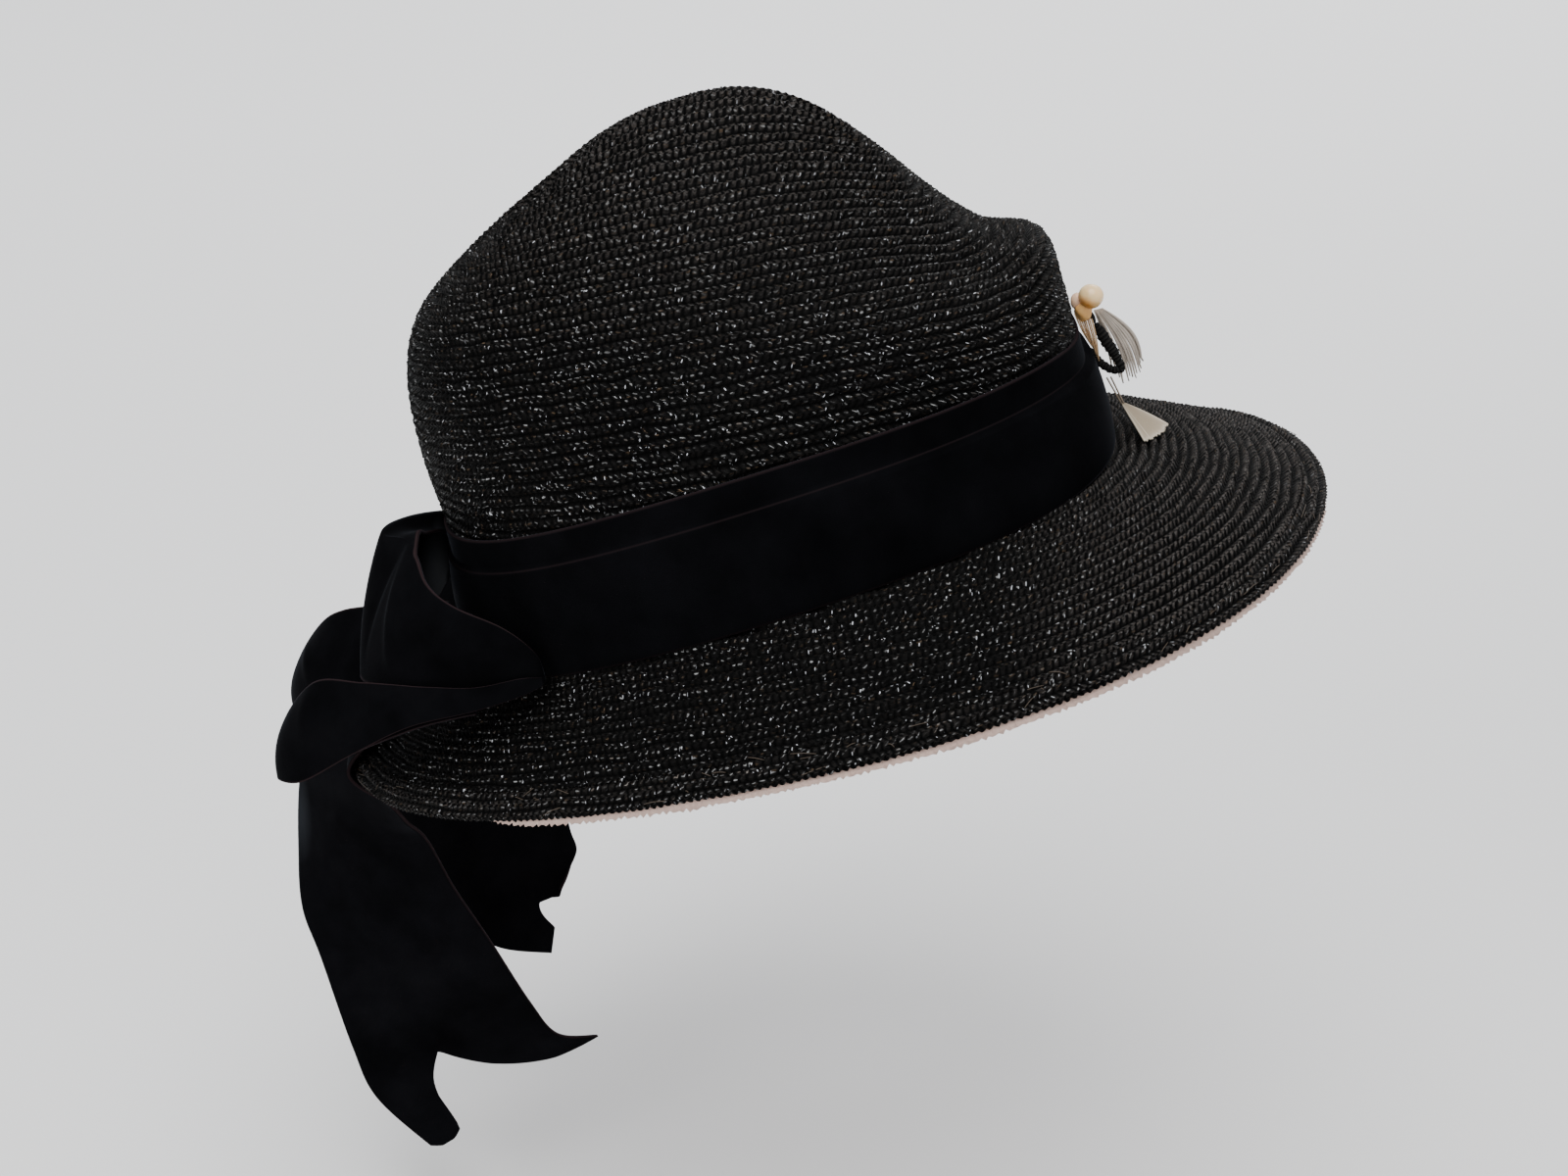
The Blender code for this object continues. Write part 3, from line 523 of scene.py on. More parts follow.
def braid_grid(points, knot, relief, towards, weight=1.0, seed=1):
    """Sewn rows of braid on a surface given as points[line, column], with ROW_LINES lines to each row.

    Each row sways a little and stands out of its grooves, and its knots swell and lean over one another.
    """
    lines, columns = points.shape[0] - 1, points.shape[1] - 1
    rows = lines // ROW_LINES
    noise = np.random.default_rng(seed)
    coarse = noise.normal(0.0, SWAY, (rows + 2, SWAY_PLACES))
    coarse[:, -1] = coarse[:, 0]
    places = np.linspace(0, SWAY_PLACES - 1, columns + 1)
    sway = np.array([np.interp(places, np.arange(SWAY_PLACES), line) for line in coarse])
    way = np.gradient(points, axis=0)
    points = points.copy()
    for line in range(1, lines):
        row, step = divmod(line, ROW_LINES)
        part = step / ROW_LINES
        points[line] += way[line] * (sway[row] * (1 - part) + sway[row + 1] * part)[:, None]
    middle = points[ROW_LINES // 2 :: ROW_LINES][:rows]
    lengths = np.linalg.norm(np.diff(middle, axis=1), axis=2)
    along = np.concatenate((np.zeros((rows, 1)), np.cumsum(lengths, axis=1)), axis=1)
    knots = np.maximum(1, np.round(along[:, -1:] / knot))
    along = along / np.maximum(along[:, -1:], 1e-9) * knots + noise.random((rows, 1))
    size = noise.normal(0.0, 1.0, (rows, columns))
    size = np.concatenate((size, size[:, :1]), axis=1)

    height = np.full(points.shape[:2], GROOVE_HEIGHT)
    for line in range(1, lines):
        row, step = divmod(line, ROW_LINES)
        across = step / ROW_LINES
        if step:
            turn = along[row] - KNOT_LEAN * abs(2 * across - 1) + 0.5 * (across > 0.5)
            knob = np.sin(pi * (turn - np.floor(turn)))
            height[line] = 0.22 + 0.22 * across + 0.62 * (knob - 0.5) + 0.06 * size[row]
    height = height * weight * relief

    def uv_of(column, row, top):
        return along[top // ROW_LINES, column], row / ROW_LINES

    bm, where = place_grid(points, uv_of)
    lift = bm.verts.layers.float["lift"]
    for vert, (column, row) in where.items():
        vert[lift] = height[row, column]
    close_and_face(bm, towards)
    for vert, move in [(vert, vert.normal * vert[lift]) for vert in bm.verts]:
        vert.co += move
    bm.normal_update()
    return bm


def grid_places(columns, rows):
    return np.meshgrid(np.linspace(0, 1, columns + 1), np.linspace(0, 1, rows + 1))


def around(columns):
    return SEAM + np.linspace(0, 2 * pi, columns + 1)


def away_from(centre):
    return lambda point: point - Vector(centre)


def upwards(point):
    return Vector((0, 0, 1))


def downwards(point):
    return Vector((0, 0, -1))


def add_piece(name, bm, material, slot, *nodes):
    mesh = bpy.data.meshes.new(name)
    bm.to_mesh(mesh)
    bm.free()
    mesh.shade_smooth()
    mesh.materials.append(material)
    piece = bpy.data.objects.new(name, mesh)
    bpy.context.scene.collection.objects.link(piece)
    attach(piece, "root")
    if nodes:
        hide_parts(*nodes)
    return piece


def sewn_piece(
    name,
    node,
    material,
    settings,
    lines,
    towards,
    slot="black_straw",
    relief=1.0,
    knot=1.0,
    weight=1.0,
    seed=1,
):
    """A piece sewn of braid on closed lines of points in millimetres, with shares of the usual sizes."""
    points = to_world(np.array(lines))
    points[:, -1] = points[:, 0]
    bm = braid_grid(points, settings.knot * knot, settings.relief * relief, towards, weight, seed)
    return add_piece(name, bm, material, slot, node)


def add_wall(piece, thickness, offset=0.0):
    wall = piece.modifiers.new("wall", "SOLIDIFY")
    wall.thickness = thickness
    wall.offset = offset
    return piece


def tube_grid(centres, radii, sides, flat=1.0, pattern=1.0):
    """A closed tube along centres with a radius at each (millimetres); flat squeezes its section."""
    centres = to_world(centres)
    ahead = np.gradient(centres, axis=0)
    ahead /= np.linalg.norm(ahead, axis=1, keepdims=True)
    side = np.cross(ahead, np.array((1.0, 0.0, 0.0)))
    side /= np.maximum(np.linalg.norm(side, axis=1, keepdims=True), 1e-9)
    up = np.cross(side, ahead)
    turn = np.linspace(0, 2 * pi, sides + 1)
    ring = side[:, None] * np.cos(turn)[None, :, None] + up[:, None] * np.sin(turn)[None, :, None] * flat
    bm = mapped_grid(centres[:, None] + ring * (radii * MM)[:, None, None], along=pattern)
    bmesh.ops.remove_doubles(bm, verts=bm.verts, dist=1e-6)
    bmesh.ops.holes_fill(bm, edges=[edge for edge in bm.edges if edge.is_boundary])
    bmesh.ops.recalc_face_normals(bm, faces=bm.faces)
    return bm


def join_meshes(whole, part):
    mesh = bpy.data.meshes.new("strand")
    part.to_mesh(mesh)
    part.free()
    whole.from_mesh(mesh)
    bpy.data.meshes.remove(mesh)


def feed(socket, value):
    """Links a Value into a socket, or sets the socket to a number, a vector or a colour."""
    if isinstance(value, Value):
        value.tree.links.new(value.socket, socket)
    elif isinstance(value, (int, float)):
        socket.default_value = value
    else:
        socket.default_value = (*value, 1.0)[: len(socket.default_value)]


def add_node(tree, kind, inputs=(), output=0, **settings):
    """Adds a node with its settings and its inputs, by name or number, and gives one of its outputs."""
    made = tree.nodes.new("ShaderNode" + kind)
    for name, value in settings.items():
        setattr(made, name, value)
    for name, value in dict(inputs).items():
        feed(made.inputs[name], value)
    return Value(tree, made.outputs[output])


class Value:
    """A number, vector or colour that varies over a surface; arithmetic on it adds nodes to its tree."""

    def __init__(self, tree, socket):
        self.tree = tree
        self.socket = socket

    def maths(self, operation, other=0.0):
        return add_node(self.tree, "Math", {0: self, 1: other}, operation=operation)

    def __add__(self, other):
        return self.maths("ADD", other)

    def __sub__(self, other):
        return self.maths("SUBTRACT", other)

    def __rsub__(self, other):
        return add_node(self.tree, "Math", {0: other, 1: self}, operation="SUBTRACT")

    def __mul__(self, other):
        return self.maths("MULTIPLY", other)

    def __truediv__(self, other):
        return self.maths("DIVIDE", other)

    def __pow__(self, other):
        return self.maths("POWER", other)

    def __abs__(self):
        return self.maths("ABSOLUTE")

    def clamped(self):
        self.socket.node.use_clamp = True
        return self

    def outputs(self):
        """All the outputs of the node that made this, by name."""
        return {socket.name: Value(self.tree, socket) for socket in self.socket.node.outputs}

    def split(self):
        return list(add_node(self.tree, "SeparateXYZ", {0: self}).outputs().values())

    def mix(self, first, second):
        """The first colour where this is 0, the second where it is 1."""
        return add_node(self.tree, "Mix", {0: self, 6: first, 7: second}, 2, data_type="RGBA")


def vector_of(*parts):
    return add_node(parts[0].tree, "CombineXYZ", enumerate(parts))


def noise_at(place, scale, detail, roughness=0.5):
    inputs = {"Vector": place, "Scale": scale, "Detail": detail, "Roughness": roughness}
    return add_node(place.tree, "TexNoise", inputs)


def object_place(tree):
    return add_node(tree, "TexCoord", output="Object")


def map_place(tree):
    return add_node(tree, "UVMap", uv_map="UVMap")


def mottle(tree, scale):
    return noise_at(object_place(tree), scale, 3.0)


def shared_group(name, inputs, fill):
    """A shared effect, made once: it takes a Place and the named numbers, and fill works out its outputs."""
    if name in bpy.data.node_groups:
        return bpy.data.node_groups[name]
    group = bpy.data.node_groups.new(name, "ShaderNodeTree")
    group.interface.new_socket(name="Place", in_out="INPUT", socket_type="NodeSocketVector")
    for label, default in inputs.items():
        socket = group.interface.new_socket(name=label, in_out="INPUT", socket_type="NodeSocketFloat")
        socket.default_value = default
    given = Value(group, group.nodes.new("NodeGroupInput").outputs[0]).outputs()
    outputs = fill(given)
    for label in outputs:
        group.interface.new_socket(name=label, in_out="OUTPUT", socket_type="NodeSocketFloat")
    result = group.nodes.new("NodeGroupOutput")
    for label, value in outputs.items():
        feed(result.inputs[label], value)
    return group


def use_group(tree, group, **inputs):
    """The outputs of a shared effect by name; an underscore stands for a space in an input's name."""
    inputs = {name.replace("_", " "): value for name, value in inputs.items()}
    return add_node(tree, "Group", inputs, node_tree=group).outputs()


def braid_group():
    """Plaited straw on a map of knots (u) and rows (v); the two half rows of a row lean together."""

    def fill(given):
        along, across, _ = given["Place"].split()
        row = across.maths("FLOOR")
        inside = across - row
        side = abs(inside * 2.0 - 1.0)
        half = inside.maths("GREATER_THAN", 0.5)
        uneven = noise_at(vector_of(along * 0.45, row * 3.7 + half, 0.0), 1.0, 1.0)
        slant = along + side * -KNOT_LEAN + half * 0.5 + uneven * 1.1
        ahead = slant.maths("FRACT")

        # A knot rounds over before it dips under the next one; the gap there and the grooves between rows
        # get painted shade.
        rounded = (ahead * pi).maths("SINE")
        groove = side**2.6
        open_part = 1.0 - groove
        body = (rounded * 2.2 - 0.80).clamped() * open_part

        # Each knot carries one painted highlight, a slanted dash, some far brighter than others.
        knot_place = vector_of(slant.maths("FLOOR"), row * 2.0 + half, 0.0)
        chance = add_node(knot_place.tree, "TexWhiteNoise", {"Vector": knot_place}, "Color").split()
        ahead = ahead - 0.68 + chance[1] * 0.36
        lean = given["Lean"] * (half * -1.5 + 1.0) * (chance[2] * 1.7 - 0.15)
        off = side - 0.57 + chance[2] * 0.36 - ahead * lean
        dash = ((1.0 - ((ahead / given["Dash"]) ** 2.0 + (off * 7.5) ** 2.0)) * 2.0).clamped()
        tone = chance[0] ** 1.8 * (half * (given["Second"] - 1.0) + 1.0)

        # Fine splints run along its strands, and some have lost their dye.
        splints = noise_at(vector_of(slant * 2.2, side * 4.5, row * 7.3 + half), 1.0, 3.0, 0.65)
        splint = (splints * 4.0 - 1.5).clamped()
        long_noise = noise_at(vector_of(along * 0.55, across * 4.0, 0.0), 1.0, 2.0)
        undyed = ((long_noise + (given["Fibre share"] * 0.78 - 0.78)) * 9.0).clamped()

        # Painted glints: small bright spots on facets of the lacquered straw.
        facet_place = vector_of(slant * 5.5, across * 3.6, 0.0)
        facet = add_node(facet_place.tree, "TexVoronoi", {"Vector": facet_place, "Scale": 1.0}).outputs()
        lit = given["Glint share"].maths("GREATER_THAN", facet["Color"].split()[0])
        near = facet["Distance"].maths("LESS_THAN", 0.40)
        return {
            "Height": splints * 0.9 + rounded * 0.6,
            "Body": body,
            "Streak": dash * tone * splint + splint * 0.003 * open_part,
            "Groove": groove,
            "Fibre": undyed * body,
            "Glint": lit * near * body,
            "Shade": noise_at(given["Place"], 0.13, 3.0),
            "Tint": chance[1],
            "Splint": splint,
        }

    inputs = {"Fibre share": 0.3, "Glint share": 0.05, "Dash": 0.30, "Lean": 1.5, "Second": 0.5}
    return shared_group("Plaited braid", inputs, fill)


def velvet_group():
    """Velvet across a ribbon (0 to 1): its pile, brushed places, woven edges and the light at a fold."""

    def fill(given):
        across = given["Across"]
        from_edge = across.maths("MINIMUM", 1.0 - across)
        off = abs(across - given["Line at"])
        return {
            "Pile": noise_at(given["Place"], 2600.0, 1.0),
            "Brushed": noise_at(given["Place"], 42.0, 4.0, 0.55),
            "Edge": (1.0 - from_edge / given["Edge width"]).clamped(),
            "Line": (1.0 - off / given["Line width"]).clamped(),
        }

    inputs = {"Across": 0.5, "Edge width": 0.02, "Line at": -1.0, "Line width": 0.008}
    return shared_group("Velvet pile", inputs, fill)


def glow_mask(tree, centre, half_size):
    """Full at a point given as fore, rise and near and gone at half_size (metres along the world's axes)."""
    spot = to_world(np.array(centre))
    inputs = {
        "Vector": object_place(tree),
        "Location": tuple(-a / b for a, b in zip(spot, half_size)),
        "Scale": tuple(1.0 / b for b in half_size),
    }
    ball = {"Vector": add_node(tree, "Mapping", inputs)}
    return add_node(tree, "TexGradient", ball, "Fac", gradient_type="SPHERICAL")


def tinted(colour, share):
    return tuple(c * share for c in colour)


def new_material(name):
    material = bpy.data.materials.new(name)
    material.use_nodes = True
    return material, material.node_tree


def surface(material, colour, roughness, bump=None, **values):
    """Feeds the material's shader; bump is a height, its strength and its distance in metres."""
    values = {name.replace("_", " "): value for name, value in values.items()}
    values["Base Color"] = colour
    values["Roughness"] = roughness
    if bump:
        inputs = zip(("Height", "Strength", "Distance"), bump)
        values["Normal"] = add_node(material.node_tree, "Bump", inputs)
    shader = material.node_tree.nodes["Principled BSDF"]
    for name, value in values.items():
        feed(shader.inputs[name], value)
    return material


def black_straw(name, settings, sheen_by_place, dash=0.30, lean=1.0, second=0.75):
    """Dyed braid with a painted sheen, a paler grey with fewer painted highlights where it faces the light,
    laid by its four sheen numbers as a y y + b y + c + d z, y being the way to the back.
    """
    material, tree = new_material(name)
    braid = use_group(
        tree,
        braid_group(),
        Place=map_place(tree),
        Fibre_share=0.19,
        Glint_share=0.03,
        Dash=dash,
        Lean=lean,
        Second=second,
    )
    _, back, up = object_place(tree).split()
    # The painted sheen's mask, from the place on the piece.
    painted_sheen = ((back * sheen_by_place[0] + sheen_by_place[1]) * back + sheen_by_place[2] + up * sheen_by_place[3]).clamped()
    shade = (braid["Shade"] * 2.4 - 0.7).clamped()
    # The painted sheen's colour, lighter and darker along the splints, over the straw's own random tone.
    sheen_colour = braid["Splint"].mix(tinted(settings.painted_sheen, 0.3), tinted(settings.painted_sheen, 2.4))
    colour = painted_sheen.mix(shade.mix(settings.straw, settings.worn), sheen_colour)
    # Painted shade in the gaps between knots and in the grooves, stronger under the painted sheen.
    colour = (braid["Body"] ** (painted_sheen * 1.8 + 1.0)).mix(PAINTED_GAP_SHADE, colour)
    # Painted highlights: a slanted dash on each knot, some brownish, fainter under the painted sheen.
    brown = (braid["Tint"] * 6.0 - 4.8).clamped()
    lit = brown.mix(settings.painted_highlight, tinted(settings.fibre, 2.0))
    colour = (braid["Streak"] * (painted_sheen * -0.75 + 1.0)).mix(colour, lit)
    colour = (braid["Fibre"] * 0.7).mix(colour, settings.fibre)
    # Painted glints, small bright spots, fainter under the painted sheen.
    colour = (braid["Glint"] * (painted_sheen * -0.7 + 0.8)).mix(colour, GLINT_COLOUR)
    bump = (braid["Height"], 0.9, 0.00045)
    return surface(material, colour, braid["Fibre"] * 0.2 + 0.45, bump, Specular_IOR_Level=0.03)


def pale_straw(settings):
    material, tree = new_material("pale straw braid")
    braid = use_group(tree, braid_group(), Place=map_place(tree), Fibre_share=0.3, Glint_share=0.05)
    colour = braid["Shade"].mix(settings.facing, tinted(settings.facing, 0.86))
    colour = (braid["Fibre"] * 0.5).mix(colour, (0.72, 0.58, 0.46))
    # Painted shade in the facing's grooves between rows.
    colour = (braid["Groove"] * 0.7).mix(colour, (0.28, 0.17, 0.13))
    return surface(material, colour, 0.62, (braid["Height"], 0.8, 0.0004))


def black_velvet(name, settings, edge_width, woven, lift=1.0, line_at=-1.0, painted_light_patch=None):
    """Velvet; lift makes a lighter copy of it, painted light, and the last argument is the middle, half size
    and colour of a painted highlight, a patch of light laid on the pile.
    """
    material, tree = new_material(name)
    velvet = use_group(
        tree,
        velvet_group(),
        Place=object_place(tree),
        Across=map_place(tree).split()[0],
        Edge_width=edge_width,
        Line_at=line_at,
    )
    brushed = (velvet["Brushed"] * 2.2 - 0.6).clamped()
    # lift brightens the whole velvet: painted light for the lighter copies.
    colour = brushed.mix(tinted(settings.pile, 0.45 * lift), tinted(settings.pile, 1.9 * lift))
    colour = (velvet["Pile"] * 0.5).mix(colour, settings.pile)
    # Painted highlight along the band's tuck, in the selvedge colour.
    colour = (velvet["Line"] * 0.35).mix(colour, settings.selvedge_and_tuck_sheen)
    # Painted highlight: a patch of light on the pile.
    if painted_light_patch:
        middle, half_size, lit = painted_light_patch
        colour = (glow_mask(tree, middle, half_size) * 1.3).clamped().mix(colour, lit)
    colour = (velvet["Edge"] * woven).clamped().mix(colour, settings.selvedge_and_tuck_sheen)
    return surface(
        material,
        colour,
        0.95,
        (velvet["Pile"], 0.35, 0.00015),
        Specular_IOR_Level=0.01,
        Sheen_Weight=0.045,
        Sheen_Roughness=0.22,
        Sheen_Tint=(0.55, 0.60, 0.72),
    )


def bead_gloss(settings):
    """Cream that glows amber low down on the side turned to the crown."""
    material, tree = new_material("translucent cream bead")
    glow = glow_mask(tree, (BEAD.fore - 2.4, BEAD.rise - 2.6, BEAD.near + 2.0), (0.0052, 0.0052, 0.0052))
    mask = ((glow + mottle(tree, 500.0) * 0.3) * 1.9 - 0.45).clamped()
    return surface(
        material,
        mask.mix(settings.bead, settings.amber),
        0.32,
        (mottle(tree, 900.0), 0.3, 0.0002),
        Subsurface_Weight=0.35,
        Subsurface_Radius=(0.004, 0.002, 0.001),
        Coat_Weight=0.4,
    )


def soft_material(name, light, dark, roughness, scale):
    material, tree = new_material(name)
    bump = (mottle(tree, scale * 3), 0.5, 0.0001)
    return surface(material, mottle(tree, scale).mix(light, dark), roughness, bump)


def feather_vane(settings):
    """Fine barbs side by side along the vane, with a paler vein, edge and end."""
    material, tree = new_material("feather vane")
    across, along, _ = map_place(tree).split()
    rib = (across * 190.0).maths("SINE")
    edge = abs(across * 2.0 - 1.0)
    vein = (1.0 - abs(across - 0.22) * 40.0).clamped()
    pale = (edge**8.0).maths("MAXIMUM", along**14.0).maths("MAXIMUM", vein)
    colour = (rib * 0.25 + 0.4).clamped().mix(settings.feather, tinted(settings.feather, 0.72))
    colour = (pale * 0.7).clamped().mix(colour, (0.62, 0.55, 0.44))
    return surface(material, colour, 0.6, (rib, 0.5, 0.00015))


def wrapped_thread():
    """Black thread wound round a wire."""
    material, tree = new_material("wrapped wire")
    across, along, _ = map_place(tree).split()
    wound = ((along + across) * (2 * pi)).maths("SINE")
    colour = (wound * 0.5 + 0.5).mix((0.004, 0.004, 0.004), (0.014, 0.013, 0.012))
    return surface(material, colour, 0.75, (wound, 0.8, 0.0003), Specular_IOR_Level=0.12)


class HAT_OT_stage(bpy.types.Operator):
    """Sets the floor, the soft light and the camera."""

    bl_idname = "straw_hat.stage"
    bl_label = "Stage"

    def execute(self, context):
        settings = context.scene.straw_hat.stage
        bm = bmesh.new()
        bmesh.ops.create_grid(bm, x_segments=8, y_segments=8, size=12.0)
        bmesh.ops.translate(bm, verts=bm.verts, vec=(0, 0, SOLID_BOX[0][2] - 0.03))
        mesh = bpy.data.meshes.new("floor")
        bm.to_mesh(mesh)
        bm.free()
        floor = bpy.data.objects.new("floor", mesh)
        context.scene.collection.objects.link(floor)
        material, tree = new_material("studio floor")
        # Painted light: the floor grows lighter away from the camera.
        painted_far_light = (object_place(tree).split()[0] * 0.75 + 0.05).clamped()
        surface(material, painted_far_light.mix(tinted(settings.floor, 0.79), settings.floor), 0.9)
        mesh.materials.append(material)

        world = context.scene.world or bpy.data.worlds.new("sky")
        context.scene.world = world
        world.use_nodes = True
        sky = world.node_tree.nodes["Background"]
        sky.inputs[0].default_value = (0.93, 0.96, 1.0, 1.0)
        sky.inputs[1].default_value = settings.sky

        for name, spot, size, power in (
            ("backdrop", (2.2, -0.7, 1.5), 1.4, settings.key * 1.1),
            ("overhead", (-0.5, 0.0, 1.5), 1.3, settings.key),
            ("window", (-1.3, 1.1, 0.9), 0.9, settings.key * 0.45),
        ):
            light = bpy.data.lights.new(name, "AREA")
            light.shape = "DISK"
            light.size = size
            light.energy = power
            lamp = bpy.data.objects.new(name, light)
            lamp.location = spot
            lamp.rotation_mode = "QUATERNION"
            aim = Vector((max(spot[0], 0.0), 0, 0)) - Vector(spot)
            lamp.rotation_quaternion = aim.to_track_quat("-Z", "Y")
            context.scene.collection.objects.link(lamp)

        camera = bpy.data.objects.new("camera", bpy.data.cameras.new("camera"))
        camera.data.lens = settings.lens
        camera.data.sensor_width = 36.0
        camera.data.shift_x = -0.0200
        camera.data.shift_y = 0.0053
        forward = Vector((0.9058, 0.0, -0.4237))
        right = Vector((0.0, -1.0, 0.0))
        turn = Matrix((right, right.cross(forward), -forward)).transposed().to_4x4()
        camera.matrix_world = Matrix.Translation(CAMERA_TARGET - forward * CAMERA_DISTANCE) @ turn
        context.scene.collection.objects.link(camera)
        context.scene.camera = camera
        return {"FINISHED"}


class HAT_OT_crown(bpy.types.Operator):
    """Sews the crown's rows of braid from its ridge down, with a plain lining surface inside."""

    bl_idname = "straw_hat.crown"
    bl_label = "Straw crown"

    def execute(self, context):
        settings = context.scene.straw_hat.straw
        columns, rows = 720, 38
        angle = around(columns)
        share = np.linspace(0, 1, 160)
        meridian = crown_points(angle[None, :], share[:, None] * np.ones((1, columns + 1)))
        length = np.linalg.norm(np.diff(meridian, axis=0), axis=2)
        length = np.concatenate((np.zeros((1, columns + 1)), np.cumsum(length, axis=0)))
        pitch = settings.crown_row / MM * (1 + 0.08 * np.sin(angle) ** 2)
        rise = oval_points(BAND_TOP, angle)[1] - CROWN_UNDER_BAND
        end = np.array([np.interp(-rise[i], -meridian[:, i, 1], length[:, i]) for i in range(columns + 1)])
        lines = []
        for line in range(rows * ROW_LINES + 1):
            down = np.minimum(line / ROW_LINES * pitch, end)
            found = [np.interp(down[i], length[:, i], share) for i in range(columns + 1)]
            lines.append(crown_points(angle, np.array(found)))
        # Painted sheen over the upper crown, more towards its front and back.
        straw = black_straw("black straw crown", settings, (22.0, 0.0, -1.02, 13.5))
        outwards = away_from((0, 0, 0.02))
        sewn_piece("straw_crown", "crown", straw, settings, lines, outwards)

        # One surface goes down the inside, a wall's thickness within, and climbs back up under the band.
        u, v = grid_places(180, 44)
        angle = SEAM + 2 * pi * u
        inside = crown_points(angle, np.minimum(v / 0.85, 1.0))
        sideways = np.stack((np.cos(angle), 0 * angle, np.sin(angle)), axis=-1)
        inward = inside - np.array((0.0, 10.0, 0.0))
        inward = inward / np.linalg.norm(inward, axis=-1, keepdims=True)
        within = (v < LINING_SHARE)[..., None]
        lining = inside - inward * within * STRAW_WALL
        climb = np.clip((v - LINING_SHARE) / (1 - LINING_SHARE), 0, 1)[..., None]
        wall = crown_at_rise(angle[-1], oval_points(BAND_TOP, angle[-1])[1] - 3.0)[None]
        lining = lining * (1 - climb) + wall * climb - sideways * 0.35 * ~within
        bm = mapped_grid(to_world(lining), 560.0 / (settings.knot / MM), 160.0 / (settings.crown_row / MM))
        close_and_face(bm, outwards)
        add_piece("crown_inside", bm, straw, "black_straw")
        return {"FINISHED"}


class HAT_OT_brim(bpy.types.Operator):
    """Sews the brim's rows inwards from the rolled edge until they run out under the band."""

    bl_idname = "straw_hat.brim"
    bl_label = "Straw brim"

    def execute(self, context):
        settings = context.scene.straw_hat.straw
        rows = 20
        angle = around(1170)
        run = brim_run(angle)
        lines = []
        for line in range(rows * ROW_LINES + 1):
            from_rim = EDGE_WIDTH - EDGE_LAP + line / ROW_LINES * (settings.brim_row / MM)
            lines.append(brim_points(angle, 1.0 - np.minimum(from_rim, run + BRIM_UNDER_BAND) / run, 0.1))
        # Painted sheen over the front of the brim.
        straw = black_straw("black straw brim", settings, (0.0, -18.0, -1.05, 0.0), 0.22, 0.5, 0.45)
        sewn_piece("straw_brim", "brim", straw, settings, lines, upwards, seed=2)
        return {"FINISHED"}


class HAT_OT_rolled_edge(bpy.types.Operator):
    """Rolls the doubled braid round the rim."""

    bl_idname = "straw_hat.rolled_edge"
    bl_label = "Rolled edge"

    def execute(self, context):
        settings = context.scene.straw_hat.straw
        rows = 6
        angle = around(1300)
        run = brim_run(angle)
        lines = []
        for line in range(rows * ROW_LINES):
            turn = 2 * pi * line / (rows * ROW_LINES)
            inset = EDGE_WIDTH / 2 * (1 - cos(turn))
            lift = EDGE_HEIGHT / 2 * (sin(turn) - 1) + EDGE_PROUD
            lines.append(brim_points(angle, 1.0 - inset / run, lift))
        middle = brim_points(angle, 1.0 - EDGE_WIDTH / 2 / run, EDGE_PROUD - EDGE_HEIGHT / 2)
        ring = to_world(middle)[::13]

        def outwards(point):
            return point - Vector(ring[np.argmin(np.sum((ring - np.array(point)) ** 2, axis=1))])

        # Painted sheen towards the front and back of the rolled edge.
        straw = black_straw("black straw edge", settings, (30.0, 0.0, 0.08, 0.0), 0.30, 1.0, 0.9)
        lines.append(lines[0])
        sewn_piece("rolled_edge", "brim_edge", straw, settings, lines, outwards, relief=0.9, seed=3)
        return {"FINISHED"}


class HAT_OT_fibres(bpy.types.Operator):
    """Frays loose fibres of straw out of the rolled edge."""

    bl_idname = "straw_hat.fibres"
    bl_label = "Loose fibres"

    def execute(self, context):
        settings = context.scene.straw_hat.straw
        noise = np.random.default_rng(41)
        whole = bmesh.new()
        t = np.linspace(0, 1, 9)
        for _ in range(settings.loose):
            start, turn, reach = 2 * pi * noise.random(), noise.normal(0, 0.03), 6.0 * noise.random()
            angle = start + turn * t
            drift = noise.normal(0, 1.0) * t
            lift = EDGE_PROUD + 0.25 + 0.7 * noise.random() * np.sin(pi * t) - 0.12 * (reach - 3.0) ** 2 / 3
            line = brim_points(angle, 1.0 - (reach + drift) / brim_run(angle), lift)
            join_meshes(whole, tube_grid(line, np.full(9, 0.10), 5))
        brown = soft_material("loose fibre", settings.fibre, tinted(settings.fibre, 0.4), 0.6, 200.0)
        add_piece("loose_fibres", whole, brown, "black_straw")
        return {"FINISHED"}


class HAT_OT_facing(bpy.types.Operator):
    """Lays the pale straw facing under the brim."""

    bl_idname = "straw_hat.facing"
    bl_label = "Pale facing"

    def execute(self, context):
        settings = context.scene.straw_hat.straw
        rows = 21
        angle = around(960)
        run = brim_run(angle)
        reach = FACING_REACH * np.sin(angle) ** 2
        reach = reach - FACING_TUCK * smoothstep((-np.cos(angle) - 0.55) / 0.2)
        lines = [brim_points(angle, 1.0 + (reach - 1.0) / run, 0.2 - STRAW_WALL)]
        for line in range(rows * ROW_LINES):
            from_rim = np.minimum(line / ROW_LINES * (settings.brim_row / MM), run)
            share = 1.0 + (reach - from_rim) / run
            drop = STRAW_WALL + 1.5 * GAP + FACING_WALL + 0.5 * smoothstep((share - 0.75) / 0.15)
            lines.append(brim_points(angle, share, 1.0 * (line == 0) - drop))
        jagged = 1.0 + 1.3 * (np.arange(len(lines)) < 4)[:, None]
        sewn_piece(
            "pale_facing",
            "brim_facing",
            pale_straw(settings),
            settings,
            lines,
            downwards,
            "pale_straw",
            relief=0.56,
            knot=1.05,
            weight=jagged,
            seed=4,
        )
        return {"FINISHED"}


